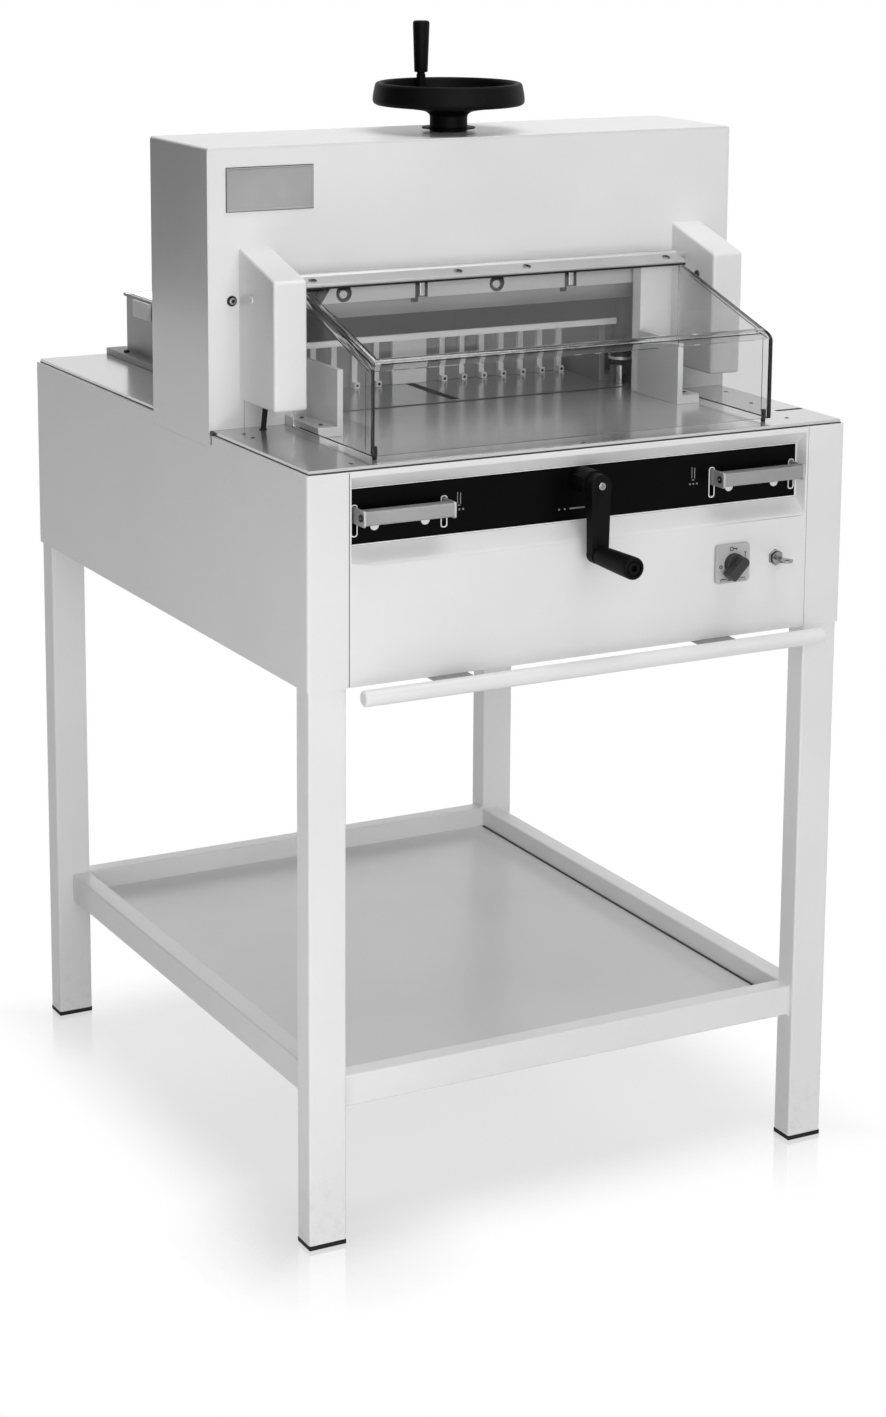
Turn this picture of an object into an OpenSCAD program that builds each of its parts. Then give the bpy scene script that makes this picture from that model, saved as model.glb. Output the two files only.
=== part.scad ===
// Electric guillotine paper cutter with a hand-wheel clamp, a cranked back gauge,
// a hinged clear guard and an open stand with a shelf.
// Millimetres. +Z is up, the operator stands on the -Y side, the origin is on the floor.

/* [Housing] */
// Overall width of the housing
housing_w = 760; // [740:5:800]
// Depth of the housing, front to back
housing_d = 890; // [880:5:960]
// Height of the housing's side sheets
housing_h = 261; // [255:1:290]
// Height of the stand, floor to housing
stand_h = 708; // [650:1:800]
// Thickness of the cover sheets
sheet = 2; // [1.5:0.1:2.5]
// Width of the side panel's wrap on the front
post_w = 55; // [48:1:60]
// Depth of the fold behind that wrap
post_fold = 20; // [12:1:26]
// Outer radius of the folded edges
edge_r = 4; // [3:0.5:6]
// Width of the flange under the table
flange_w = 20; // [14:1:22]
// Thickness of the base plate
base_t = 3; // [2:0.5:6]
// How far the rear panel sits inside the side panels
rear_inset = 4; // [3:0.5:8]

/* [Control recess] */
// Border beside the recess
recess_side = 3; // [2:0.5:8]
// Border above the recess
recess_top = 7; // [5:1:10]
// Height of the recess mouth
recess_h = 106; // [100:1:112]
// Depth of the recess
recess_depth = 17; // [12:1:20]
// Height of the upper bezel slope
slope_top = 16; // [12:1:18]
// Height of the lower bezel slope
slope_low = 20; // [14:1:22]
// Width of the side bezel slopes
slope_side = 4; // [2:0.5:6]
// Thickness of the black control panel
panel_t = 3; // [2:0.5:4]

/* [Stand] */
// Leg size along X
leg_x = 50; // [40:1:60]
// Leg size along Y
leg_y = 35; // [30:1:50]
// Leg tube wall
leg_wall = 3; // [2:0.5:5]
// Leg inset from the housing's outline
leg_inset = 2.5; // [1:0.5:8]
// Thickness of the foot pads
foot_h = 6; // [4:0.5:12]
// Height of the plug inside each leg
plug_h = 20; // [10:1:40]
// Height of the shelf rails
rail_h = 40; // [30:1:60]
// Thickness of the shelf rails
rail_t = 27; // [20:1:30]
// Rail tube wall
rail_wall = 2; // [1.5:0.5:4]
// Underside of the rails above the floor
rail_z = 175; // [120:1:300]
// Shelf sheet thickness
tray_t = 2; // [1.5:0.5:4]
// Depth of the shelf below the rail tops
tray_drop = 28; // [16:1:30]

/* [Front bar] */
// Radius of the front bar
bar_r = 10; // [8:0.5:14]
// Wall of the front bar
bar_wall = 2; // [1:0.5:3]
// Bar's ends in from the housing's sides
bar_in = 53; // [20:1:90]
// Bar axis in front of the housing
bar_out = 40; // [30:1:60]
// Width of the two tabs
tab_w = 47; // [30:1:70]
// Tab centres in from the housing's sides
tab_in = 191.5; // [150:0.5:240]
// Tab thickness
tab_t = 6; // [4:0.5:9]
// Length of tab under the base plate
tab_seat = 40; // [25:1:90]

/* [Table] */
// Thickness of the steel table
table_t = 5; // [4:0.5:8]
// Table inset from the housing's outline
table_inset = 4; // [3:0.5:8]
// Cut line behind the tower's front
cut_back = 48; // [46:0.5:54]
// Side of the square cutting stick
stick = 10; // [8:0.5:12]
// Stick's ends in from the housing's sides
stick_in = 130; // [126:1:136]
// Height of the beam under the stick
stick_beam_h = 30; // [20:1:31]
// Width of the back gauge slot
slot_w = 14; // [12:1:24]

/* [Tower] */
// Tower front behind the housing's front
tower_y = 282; // [278:1:284]
// Depth of the tower
tower_d = 180; // [178:1:200]
// Height of the tower above the housing
tower_h = 356; // [350:1:380]
// How far the tower's sides lap over the housing
tower_lap = 16; // [10:1:40]
// Mouth's sides in from the housing's sides
mouth_in = 135; // [130:1:137]
// Height of the mouth above the housing's top
mouth_h = 181; // [165:1:190]
// Gap from the mouth's side folds to the carrier
fold_gap = 4; // [2:0.5:12]
// Rear mouth's sides in from the housing's sides
rear_mouth_in = 100; // [90:1:103]
// Height of the rear mouth above the housing's top
rear_mouth_h = 101; // [96:1:130]

/* [Machine frame] */
// Cheeks' inner faces in from the housing's sides
cheek_in = 98; // [95:1:100]
// Width of each cheek
cheek_w = 56; // [50:1:62]
// Cheeks' rear faces in front of the tower's rear
cheek_rear = 12; // [8:0.5:24]
// Cheeks behind the cut line
cheek_back = 16; // [15:0.5:18]
// Height of the crossbeam
beam_h = 50; // [40:1:52]
// Crossbeam's top below the tower's top
beam_drop = 19; // [17:1:24]
// Radius of the clamp posts
post_r = 14; // [11:0.5:14]
// Gap from post to cheek
post_gap = 2; // [1:0.5:3]

/* [Knife] */
// Thickness of the knife
blade_t = 8; // [6:0.5:9]
// Height of the knife
blade_h = 56; // [44:1:60]
// Knife showing below its carrier
blade_show = 23; // [18:1:30]
// Height of the ground bevel
bevel_h = 14; // [8:1:17]
// Knife edge above the table at rest
knife_lift = 120; // [118:1:124]
// Slant of the stroke from the vertical, in degrees
swing = 33; // [30:1:34]
// Thickness of the carrier
carrier_t = 16; // [14:0.5:18]
// Carrier's lower left corner in from the housing's side
carrier_in_left = 166; // [160:1:175]
// Carrier's right end in from the housing's side
carrier_in_right = 30; // [24:1:40]
// Depth of the carrier's guide grooves
groove = 4; // [3:0.5:6]
// Width of the guide rails
rail_w = 25; // [18:1:30]
// Width of the pull rod
pull_w = 26; // [22:1:28]
// Thickness of the pull rod
pull_t = 12; // [8:0.5:13]
// Pull rod's middle in from the housing's side
pull_in = 36; // [32:1:42]
// Pull rod's eye below the table
eye_drop = 69; // [60:1:75]
// Radius of the drive shaft
shaft_r = 14; // [10:0.5:18]

/* [Clamp] */
// Clamp's sole above the table at rest
clamp_lift = 84; // [82:1:88]
// Clamp's ends in from the housing's sides
clamp_in = 140; // [138:1:150]
// Depth of the clamp beam
clamp_d = 42; // [36:1:46]
// Clamp behind the cut line
clamp_gap = 4; // [3:0.5:5]
// Height of the clamp beam
clamp_h = 72; // [60:1:74]
// Height of the clamp's sole
sole_h = 8; // [5:0.5:12]
// Sole in front of the beam's face
sole_out = 2; // [1:0.5:3]
// Outer radius of the nut sleeve
sleeve_r = 20; // [17:0.5:21]
// Gap from the nut sleeve to the crossbeam
sleeve_gap = 10; // [6:1:20]
// Threaded length at the top of the sleeve
nut_h = 40; // [30:1:50]
// Radius of the clamp spindle
spindle_r = 10; // [8:0.5:12]

/* [Handwheel] */
// Radius of the handwheel
wheel_r = 99; // [90:1:110]
// Height of the handwheel, hub to rim
wheel_h = 63; // [56:1:70]
// Height of the wheel's rim
wheel_rim_h = 29; // [22:1:32]
// Radius of the wheel's hub
wheel_hub_r = 24.5; // [20:0.5:30]
// Radius of the thin hub flange
wheel_flange_r = 35; // [30:1:42]
// Grip axis in from the wheel's rim
knob_in = 21; // [20.5:0.5:26]
// Length of the wheel's grip
knob_l = 67; // [50:1:80]
// Largest radius of the wheel's grip
knob_r = 11; // [8:0.5:14]

/* [Guard] */
// Hood's ends in from the housing's sides
guard_in = 97; // [95:1:100]
// Hood's front behind the housing's front
guard_y = 25; // [15:1:40]
// Hood above the table
guard_gap = 5; // [3:0.5:10]
// Height of the hood's upright front
guard_front_h = 112; // [90:1:125]
// Thickness of the clear sheet
guard_t = 4; // [3:0.5:6]
// Outer bend radius of the hood
guard_bend = 7; // [6.5:0.5:12]
// Hinge axis in front of the tower
hinge_out = 30; // [24:1:40]
// Hinge axis above the table
hinge_up = 186; // [165:1:190]
// Radius of the hinge barrel
barrel_r = 8; // [6.5:0.5:10]
// Width of the clamping strip
strip_w = 29; // [24:1:50]
// Thickness of the clamping strip
strip_t = 6; // [4:0.5:8]
// Strip's ends in from the hood's ends
strip_in = 6; // [0:0.5:10]
// Radius of the hinge pins
pin_r = 4; // [3:0.5:5]
// Gap from hood to hinge boxes
box_play = 10; // [8:0.5:12]
// Width of the hinge boxes
box_w = 45; // [40:1:50]
// Depth of the hinge boxes
box_d = 102; // [90:1:110]
// Front height of the hinge boxes
box_h = 160; // [152:1:175]
// Rise of their sloped tops
box_rise = 30; // [20:1:40]
// Hinge boxes above the table
box_gap = 36; // [26:1:40]

/* [Guides] */
// Side guides' faces in from the housing's sides
guide_in = 138; // [136:0.5:139]
// Wall of the front guides
guide_t = 8; // [6:0.5:9]
// Height of the front guides
guide_h = 83; // [50:1:90]
// Width of the front guides' foot
guide_foot = 26; // [16:1:27]
// Thickness of that foot
guide_foot_t = 12; // [8:0.5:16]
// Front end of the guides behind the housing's front
guide_y = 182; // [120:1:200]
// Wall of the rear guides
rear_guide_t = 9; // [7:0.5:10]
// Height of the rear guides
rear_guide_h = 86; // [84:1:92]
// Foot thickness of the rear guides
rear_foot_t = 9; // [6:0.5:12]
// Thickness of the clear rear lid
lid_t = 4; // [3:0.5:6]

/* [Back gauge] */
// Gauge face behind the cut line at rest
gauge_rest = 146; // [125:1:150]
// Gauge's ends in from the housing's sides
gauge_in = 140; // [138:1:146]
// Gauge's top below the rear lid
gauge_under = 6; // [3:0.5:20]
// Thickness of the gauge plate
gauge_t = 14; // [10:1:18]
// Pitch of the comb's ribs
rib_pitch = 30.6; // [29:0.1:31]
// Width of one rib
rib_w = 8; // [5:0.5:11]
// Ribs in front of the plate
rib_out = 6; // [4:0.5:7]
// First rib from the middle
rib_first = 50; // [47:0.5:51]
// Width of the plain middle block
comb_block = 52; // [40:1:58]
// Radius of the gauge spindle
screw_r = 8; // [6:0.5:9]
// Length of the gauge nut
nut_l = 60; // [40:1:64]

/* [Crank] */
// Crank axis below the housing's top
crank_drop = 41; // [39:1:44]
// Crank radius
crank_throw = 86; // [76:1:95]
// Length of the hub in front of the panel
crank_hub_l = 35; // [33:1:45]
// Radius of the hub
crank_hub_r = 14; // [12:0.5:17]
// Radius of the collar behind its arm
crank_collar_r = 16.5; // [15:0.5:20]
// Thickness of the arm
arm_t = 14; // [11:0.5:18]
// Radius of the arm's lower end
arm_end_r = 12; // [9:0.5:13]
// Length of the crank's grip
grip_l = 79; // [60:1:100]
// Largest radius of the crank's grip
grip_r = 14; // [9:0.5:15]

/* [Release bars] */
// Length of one bar
release_l = 117; // [100:1:124]
// Height of one bar
release_h = 17; // [14:0.5:19]
// Depth of one bar
release_d = 16; // [12:0.5:16.5]
// Bar in front of the housing
release_out = 13; // [12:0.5:18]
// Bar centres in from the housing's sides
release_in = 129.5; // [128:0.5:132]
// Bar's underside below the housing's top
release_drop = 64; // [62:0.5:66]
// Width of the panel slots
release_slot_w = 8; // [6:0.5:9]
// Height of the panel slots
release_slot_h = 36; // [34:0.5:37]
// Bracket thickness
bracket_t = 3; // [2:0.5:4]

/* [Switches] */
// Side of the square switch plate
switch_plate = 50; // [44:1:56]
// Switch in from the housing's side
switch_in = 169; // [155:1:175]
// Switch below the housing's top
switch_drop = 165; // [160:1:190]
// Radius of the switch knob
switch_r = 18; // [14:0.5:21]
// Key lock in from the housing's side
key_in = 102; // [90:1:108]
// Radius of the key lock's ring
key_r = 10; // [8:0.5:12]
// Radius of the key's bow
key_bow_r = 9.5; // [7:0.5:12]
// Thickness of the key
key_t = 2.5; // [2:0.5:4]

/* [Drive and electrics] */
// Radius of the motor
motor_r = 58; // [45:1:60]
// Length of the motor's body
motor_l = 200; // [140:1:205]
// Length of the motor's fan cover
fan_l = 28; // [16:1:30]
// Length of the motor's terminal box
terminal_l = 70; // [50:1:90]
// Width of the motor's terminal box
terminal_w = 60; // [40:1:70]
// Top of the terminal box above the motor's axis
terminal_up = 78; // [66:1:82]
// Side of the gearbox
gearbox_w = 112; // [90:1:116]
// Height of the gearbox
gearbox_h = 120; // [100:1:130]
// Depth of the shaft in the gearbox
shaft_in = 70; // [50:1:80]
// Width of the control box
control_w = 130; // [100:1:150]
// Depth of the control box
control_d = 200; // [120:1:220]
// Height of the control box
control_h = 150; // [100:1:180]
// Control box in from the housing's side
control_in = 40; // [20:1:60]
// Control box behind the cheeks
control_back = 110; // [60:1:130]
// Width of the spindle's bearing blocks
bearing_w = 50; // [44:1:60]
// Length of one bearing block
bearing_l = 24; // [18:1:30]
// Bearing block below the spindle's axis
bearing_low = 22; // [18:1:28]
// Mains inlet in from the housing's side
inlet_in = 130; // [100:1:160]
// Mains inlet above the housing's underside
inlet_up = 62; // [40:1:80]
// Half width of the inlet's body
inlet_x_half = 15; // [14:0.5:18]
// Half height of the inlet's body
inlet_z_half = 11; // [10:0.5:13]
// Length of one vent
vent_l = 90; // [60:1:100]
// Height of one vent
vent_h = 5; // [3:0.5:7]
// Pitch of the vents
vent_pitch = 14; // [10:0.5:16]
// Length of one lid clip
clip_l = 56; // [30:1:80]
// Height of one lid clip
clip_h = 24; // [14:1:30]
// Thickness of one lid clip
clip_t = 6; // [4:0.5:8]
// Clips in from the lid's ends
clip_in = 40; // [20:1:60]

/* [Clearances] */
// Gap between parts that pass each other
fit = 0.3; // [0.2:0.05:0.5]
// Radial clearance of turning and sliding shafts
run = 0.05; // [0.03:0.01:0.08]

/* [Hidden] */
$fn = 64;

// Finishes
white_paint = "#e9e9e7";
steel = "#c4c6c8";
iron = "#83868a";
alu = "#d3d5d7";
black = "#17181a";
clear = [0.86, 0.9, 0.92, 0.4];

// Planes of the housing: half width, front, rear, underside, top, table surface
hw = housing_w / 2;
crank_reach = crank_hub_l + arm_t + grip_l - recess_depth;
fy = -(housing_d - crank_reach) / 2;
ry = fy + housing_d;
zb = stand_h;
zt = zb + housing_h;
zs = zt + table_t;
front_half = hw - post_w;
rear_y = ry - rear_inset;
bar_l = 2 * (hw - bar_in);
tab_x = hw - tab_in;
stick_l = 2 * (hw - stick_in);
mouth_w = 2 * (hw - mouth_in);
rear_mouth_w = 2 * (hw - rear_mouth_in);
carrier_left = hw - carrier_in_left;
carrier_right = hw - carrier_in_right;
pull_x = hw - pull_in;
clamp_l = 2 * (hw - clamp_in);
gauge_w = 2 * (hw - gauge_in);
gauge_h = rear_guide_h - gauge_under;
knob_offset = wheel_r - knob_in;
release_x = hw - release_in;
switch_x = hw - switch_in;
key_x = hw - key_in;

// Control recess
mouth_x = front_half - recess_side;
recess_z1 = zt - recess_top;
recess_z0 = recess_z1 - recess_h;
panel_y0 = fy + recess_depth;
panel_y1 = panel_y0 + panel_t;
panel_half = mouth_x - slope_side;
panel_z0 = recess_z0 + slope_low;
panel_z1 = recess_z1 - slope_top;
panel_edge = 4;

// Legs and rails
leg_x1 = hw - leg_inset;
leg_x0 = leg_x1 - leg_x;
leg_front = fy + leg_inset;
leg_rear = ry - leg_inset - leg_y;
rail_z1 = rail_z + rail_h;
tray_z1 = rail_z1 - tray_drop;

// Tower, cut line, cheeks and crossbeam
ty0 = fy + tower_y;
ty1 = ty0 + tower_d;
ztow = zt + tower_h;
cy = ty0 + cut_back;
mouth_fold = cut_back - blade_t - carrier_t - fold_gap;
cheek_x0 = hw - cheek_in;
cheek_x1 = cheek_x0 + cheek_w;
cheek_y0 = cy + cheek_back;
cheek_y1 = ty1 - cheek_rear;
beam_z1 = ztow - beam_drop;
beam_z0 = beam_z1 - beam_h;
post_x = cheek_x0 - post_gap - post_r;
post_y = cheek_y0 + post_r + 5;
base_z1 = zb + base_t;

// Knife: edge height, carrier planes and stroke
edge_z = zs + knife_lift;
carrier_z0 = edge_z + blade_show;
carrier_z1 = beam_z1;
carrier_y1 = cy - blade_t;
carrier_y0 = carrier_y1 - carrier_t;
stroke_z = knife_lift - fit;
stroke_x = stroke_z * tan(swing);
pull_y0 = carrier_y0 - pull_t;
eye_z = zs - eye_drop;
shaft_x = pull_x - stroke_x / 2;
shaft_z = eye_z - stroke_z / 2;
guide_plate_t = 8;
rail_low = edge_z + blade_h + 12;
rail_top = beam_z1 - 12;

// Clamp and its spindle
clamp_y0 = cy + clamp_gap;
clamp_y1 = clamp_y0 + clamp_d;
clamp_z0 = zs + clamp_lift;
clamp_z1 = clamp_z0 + clamp_h;
ear_x = cheek_x0 - 1.5;
spin_y = cheek_y0 + sleeve_r + 2;
sleeve_z1 = beam_z0 - sleeve_gap;
spindle_z0 = clamp_z1 + 6;
journal_r = spindle_r - 2;

// Handwheel heights and its grip
wheel_z0 = ztow + 0.5;
wheel_z1 = wheel_z0 + wheel_h;
rim_z0 = wheel_z1 - wheel_rim_h;
web_z = rim_z0 + 10;
stem_r = 4;

// Guard: front, bend and hinge axis
guard_half = hw - guard_in;
gy = fy + guard_y;
guard_z0 = zs + guard_gap;
bend_z = guard_z0 + guard_front_h;
hinge_y = ty0 - hinge_out;
hinge_z = zs + hinge_up;
slope = atan2(hinge_z - bend_z, hinge_y - gy);
slope_l = norm([hinge_y - gy, hinge_z - bend_z]);
box_x0 = guard_half + box_play;
box_x1 = box_x0 + box_w;
box_y0 = ty0 - box_d;
box_z0 = zs + box_gap;
boss_l = 18;
cable_r = 3.5;
cable_x = box_x0 + box_w / 2;
cable_y = ty0 - 20;
switch_z = box_z0 + 32;

// Guides
guide_x = hw - guide_in;
rear_guide_y = post_y + post_r + 9;
rear_guide_x1 = guide_x + 4 + rear_guide_t;
rear_foot_x1 = cheek_x0 - 6;
lid_y1 = ry - 27;
lid_z = zs + rear_guide_h;

// Back gauge and its spindle, on the crank's axis
gauge_y = cy + gauge_rest;
gauge_z0 = zs + fit;
plate_y = gauge_y + rib_out;
axis_z = zt - crank_drop;
nut_half = 20;
nut_y = plate_y + 2;
rear_bearing_y = rear_y - sheet - bearing_l - 2;

// Crank planes, front to back
arm_y1 = panel_y0 - crank_hub_l;
arm_y0 = arm_y1 - arm_t;
grip_z = axis_z - crank_throw;

// Release bars
release_z0 = zt - release_drop;
release_y0 = fy - release_out;
release_half = release_l / 2;
release_slot_z1 = release_z0 + release_h + 2;
tie_y = panel_y1 + 11;

// Box from a low corner to a high corner along each axis
module slab(x, y, z) {
    translate([x[0], y[0], z[0]])
        cube([x[1] - x[0], y[1] - y[0], z[1] - z[0]]);
}

// Round bar along X, Y or Z, placed by the two other coordinates
module bar_x(y, z, r, x) {
    translate([x[0], y, z])
        rotate([0, 90, 0])
            cylinder(r = r, h = x[1] - x[0]);
}

module bar_y(x, z, r, y) {
    translate([x, y[0], z])
        rotate([-90, 0, 0])
            cylinder(r = r, h = y[1] - y[0]);
}

module bar_z(x, y, r, z) {
    translate([x, y, z[0]])
        cylinder(r = r, h = z[1] - z[0]);
}

// A piece and its mirror image across the middle
module both_sides() {
    for (side = [0, 1])
        mirror([side, 0, 0])
            children();
}

// Flat outline given in Y and Z, as thick as the span along X
module along_x(x) {
    translate([x[0], 0, 0])
        rotate([90, 0, 90])
            linear_extrude(x[1] - x[0])
                children();
}

// Flat outline given in X and Z, as thick as the span along Y
module along_y(y) {
    translate([0, y[1], 0])
        rotate([90, 0, 0])
            linear_extrude(y[1] - y[0])
                children();
}

// Points on an arc from one angle to another
function arc(c, r, from, to, steps = 6) =
    [for (i = [0:steps]) c + r * [cos(from + (to - from) * i / steps), sin(from + (to - from) * i / steps)]];

// Upright outline of the tower: square at the foot, rounded at the top
function tower_outline(half, low, high, r) = concat(
    [[-half, low], [half, low]],
    arc([half - r, high - r], r, 0, 90),
    arc([-half + r, high - r], r, 90, 180));

// Block with sloped sides between a front and a rear rectangle
module bezel_block(grow) {
    near = [for (z = [recess_z0 - grow, recess_z1 + grow], s = [-1, 1]) [s * (mouth_x + grow), fy, z]];
    far = [for (z = [panel_z0 - grow, panel_z1 + grow], s = [-1, 1])
        [s * (panel_half + grow), panel_y0, z]];
    polyhedron(concat(near, far), [
        [0, 1, 5], [0, 5, 4], [1, 3, 7], [1, 7, 5], [3, 2, 6], [3, 6, 7],
        [2, 0, 4], [2, 4, 6], [0, 2, 3], [0, 3, 1], [4, 5, 7], [4, 7, 6]]);
}

// Four upright leg tubes
module stand_legs() {
    color(white_paint)
        both_sides()
            for (y = [leg_front, leg_rear])
                difference() {
                    slab([leg_x0, leg_x1], [y, y + leg_y], [foot_h, zb]);
                    slab([leg_x0 + leg_wall, leg_x1 - leg_wall], [y + leg_wall, y + leg_y - leg_wall],
                        [foot_h - 1, zb - leg_wall]);
                }
}

// Foot pads with a plug up each leg
module foot_pads() {
    inset = leg_wall + fit;
    color(black)
        both_sides()
            for (y = [leg_front, leg_rear]) {
                slab([leg_x0, leg_x1], [y, y + leg_y], [0, foot_h]);
                slab([leg_x0 + inset, leg_x1 - inset], [y + inset, y + leg_y - inset],
                    [foot_h, foot_h + plug_h]);
            }
}

// One rail tube, hollow along its length
module rail_along_x(y) {
    difference() {
        slab([-leg_x0, leg_x0], y, [rail_z, rail_z1]);
        slab([-leg_x0 - 1, leg_x0 + 1], [y[0] + rail_wall, y[1] - rail_wall],
            [rail_z + rail_wall, rail_z1 - rail_wall]);
    }
}

// Four rails between the legs, flush with the legs' inner faces
module shelf_rails() {
    y0 = leg_front + leg_y;
    y1 = leg_rear;
    color(white_paint) {
        rail_along_x([y0 - rail_t, y0]);
        rail_along_x([y1, y1 + rail_t]);
        both_sides()
            difference() {
                slab([leg_x0, leg_x0 + rail_t], [y0, y1], [rail_z, rail_z1]);
                slab([leg_x0 + rail_wall, leg_x0 + rail_t - rail_wall], [y0 - 1, y1 + 1],
                    [rail_z + rail_wall, rail_z1 - rail_wall]);
            }
    }
}

// Shelf sheet with its edges folded down against the rails
module shelf_tray() {
    y0 = leg_front + leg_y;
    color("#dcdcda")
        difference() {
            slab([-leg_x0, leg_x0], [y0, leg_rear], [rail_z, tray_z1]);
            slab([-leg_x0 + tray_t, leg_x0 - tray_t], [y0 + tray_t, leg_rear - tray_t],
                [rail_z - 1, tray_z1 - tray_t]);
        }
}

// Round bar across the front on two tabs under the base plate
module front_bar() {
    bar_y0 = fy - bar_out;
    bar_z0 = zb - tab_t / 2;
    tube = [-bar_l / 2, bar_l / 2];
    color(white_paint)
        difference() {
            union() {
                bar_x(bar_y0, bar_z0, bar_r, tube);
                both_sides()
                    slab([tab_x - tab_w / 2, tab_x + tab_w / 2],
                        [bar_y0, fy + post_fold + tab_seat], [zb - tab_t, zb]);
            }
            bar_x(bar_y0, bar_z0, bar_r - bar_wall, [tube[0] + bar_wall, tube[1] - bar_wall]);
        }
}

// Base plate that closes the housing and stands on the legs
module base_plate() {
    color(white_paint)
        slab([-hw + sheet, hw - sheet], [fy + post_fold, rear_y - sheet], [zb, base_z1]);
}

// Left side sheet, folded round to the front
module side_sheet() {
    wall = -hw + sheet;
    wrap = -hw + post_w;
    outline = concat(
        [[-hw, ry]],
        arc([-hw + edge_r, fy + edge_r], edge_r, 180, 270),
        [[wrap, fy], [wrap, fy + post_fold], [wrap - sheet, fy + post_fold], [wrap - sheet, fy + sheet]],
        arc([-hw + edge_r, fy + edge_r], edge_r - sheet, 270, 180),
        [[wall, ry]]);
    difference() {
        union() {
            translate([0, 0, zb])
                linear_extrude(housing_h)
                    polygon(outline);
            slab([wall - 0.5 * sheet, -hw + flange_w], [fy + edge_r, rear_y - sheet], [zt - sheet, zt]);
        }
        slab([-hw - 1, wall], [ty0, ty1], [zt - tower_lap, zt + 1]);
    }
}

module side_panel_left() {
    color(white_paint)
        side_sheet();
}

module side_panel_right() {
    color(white_paint)
        mirror([1, 0, 0])
            side_sheet();
}

// Front sheet with the sloped recess, the switch hole and the lock hole
module front_panel() {
    switch_z0 = zt - switch_drop;
    color(white_paint)
        difference() {
            union() {
                slab([-front_half, front_half], [fy, fy + sheet], [zb, zt]);
                bezel_block(sheet);
            }
            bezel_block(0);
            slab([-mouth_x, mouth_x], [fy - 1, fy], [recess_z0, recess_z1]);
            slab([-panel_half, panel_half], [panel_y0 - 1, panel_y0 + 1], [panel_z0, panel_z1]);
            bar_y(switch_x, switch_z0, 11 + fit, [fy - 1, fy + sheet + 1]);
            bar_y(key_x, switch_z0, key_r - 2 + fit, [fy - 1, fy + sheet + 1]);
        }
}

// Centres of a release bar's two slots
function slot_x(side) = [for (s = [-1, 1]) side * release_x + s * (release_half + bracket_t / 2)];

// Black control panel with the bar slots, the crank's hole and the bars' guide lugs behind
module control_panel() {
    lug_x = release_half - fit;
    color(black)
        difference() {
            union() {
                slab([-panel_half - panel_edge / 2, panel_half + panel_edge / 2], [panel_y0, panel_y1],
                    [panel_z0 - panel_edge, panel_z1 + panel_edge]);
                for (side = [-1, 1], s = [-1, 1])
                    translate([side * release_x + s * (lug_x - 5), 0, 0])
                        slab([-5, 5], [panel_y1 - 1, tie_y - fit],
                            [release_slot_z1 - release_slot_h, release_slot_z1]);
            }
            for (side = [-1, 1], x = slot_x(side))
                slab([x - release_slot_w / 2, x + release_slot_w / 2], [panel_y0 - 1, panel_y1 + 1],
                    [release_slot_z1 - release_slot_h, release_slot_z1]);
            bar_y(0, axis_z, screw_r + 1, [panel_y0 - 1, panel_y1 + 1]);
        }
}

// Mains inlet: centre and half sizes of its body
inlet_x = -hw + inlet_in;
inlet_z = zb + inlet_up;
inlet_half = [inlet_x_half, inlet_z_half];

// Rear sheet with vents and the inlet's hole
module rear_panel() {
    color(white_paint)
        difference() {
            slab([-hw + sheet, hw - sheet], [rear_y - sheet, rear_y], [zb, zt]);
            for (row = [0:7], s = [-1, 1])
                translate([s * vent_l * 2 / 3, 0, inlet_z + vent_pitch * row])
                    slab([-vent_l / 2, vent_l / 2], [rear_y - sheet - 1, rear_y + 1], [0, vent_h]);
            slab([inlet_x - inlet_half[0] - fit, inlet_x + inlet_half[0] + fit],
                [rear_y - sheet - 1, rear_y + 1],
                [inlet_z - inlet_half[1] - fit, inlet_z + inlet_half[1] + fit]);
        }
}

// Flanged mains socket in the rear sheet
module mains_inlet() {
    rim = 8;
    color(black)
        difference() {
            union() {
                slab([inlet_x - inlet_half[0] - rim, inlet_x + inlet_half[0] + rim], [rear_y, rear_y + 2],
                    [inlet_z - inlet_half[1] - 3, inlet_z + inlet_half[1] + 3]);
                slab([inlet_x - inlet_half[0], inlet_x + inlet_half[0]], [rear_y - 28, rear_y + 1],
                    [inlet_z - inlet_half[1], inlet_z + inlet_half[1]]);
            }
            slab([inlet_x - inlet_half[0] + 3, inlet_x + inlet_half[0] - 3], [rear_y - 18, rear_y + 3],
                [inlet_z - inlet_half[1] + 3, inlet_z + inlet_half[1] - 3]);
        }
}

// Polished table plate with every opening that passes through it
module work_table() {
    color(steel)
        difference() {
            slab([-hw + table_inset, hw - table_inset], [fy + table_inset, ry - table_inset], [zt, zs]);
            slab([-slot_w / 2, slot_w / 2], [cheek_y0, rear_bearing_y - 6], [zt - 1, zs + 1]);
            slab([-stick_l / 2 - fit, stick_l / 2 + fit], [cy - stick / 2 - fit, cy + stick / 2 + fit],
                [zt - 1, zs + 1]);
            slab([pull_x - stroke_x - pull_w / 2 - 2, pull_x + pull_w / 2 + 2],
                [pull_y0 - 1, carrier_y0 + 1], [zt - 1, zs + 1]);
            both_sides()
                slab([cheek_x0 - fit, cheek_x1 + fit], [cheek_y0 - fit, cheek_y1 + fit], [zt - 1, zs + 1]);
            bar_z(-cable_x, cable_y, cable_r + fit, [zt - 1, zs + 1]);
        }
}

// Square plastic stick that the knife closes on
module cutting_stick() {
    color("#3a3c3e")
        slab([-stick_l / 2, stick_l / 2], [cy - stick / 2, cy + stick / 2], [zs - stick, zs]);
}

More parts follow.
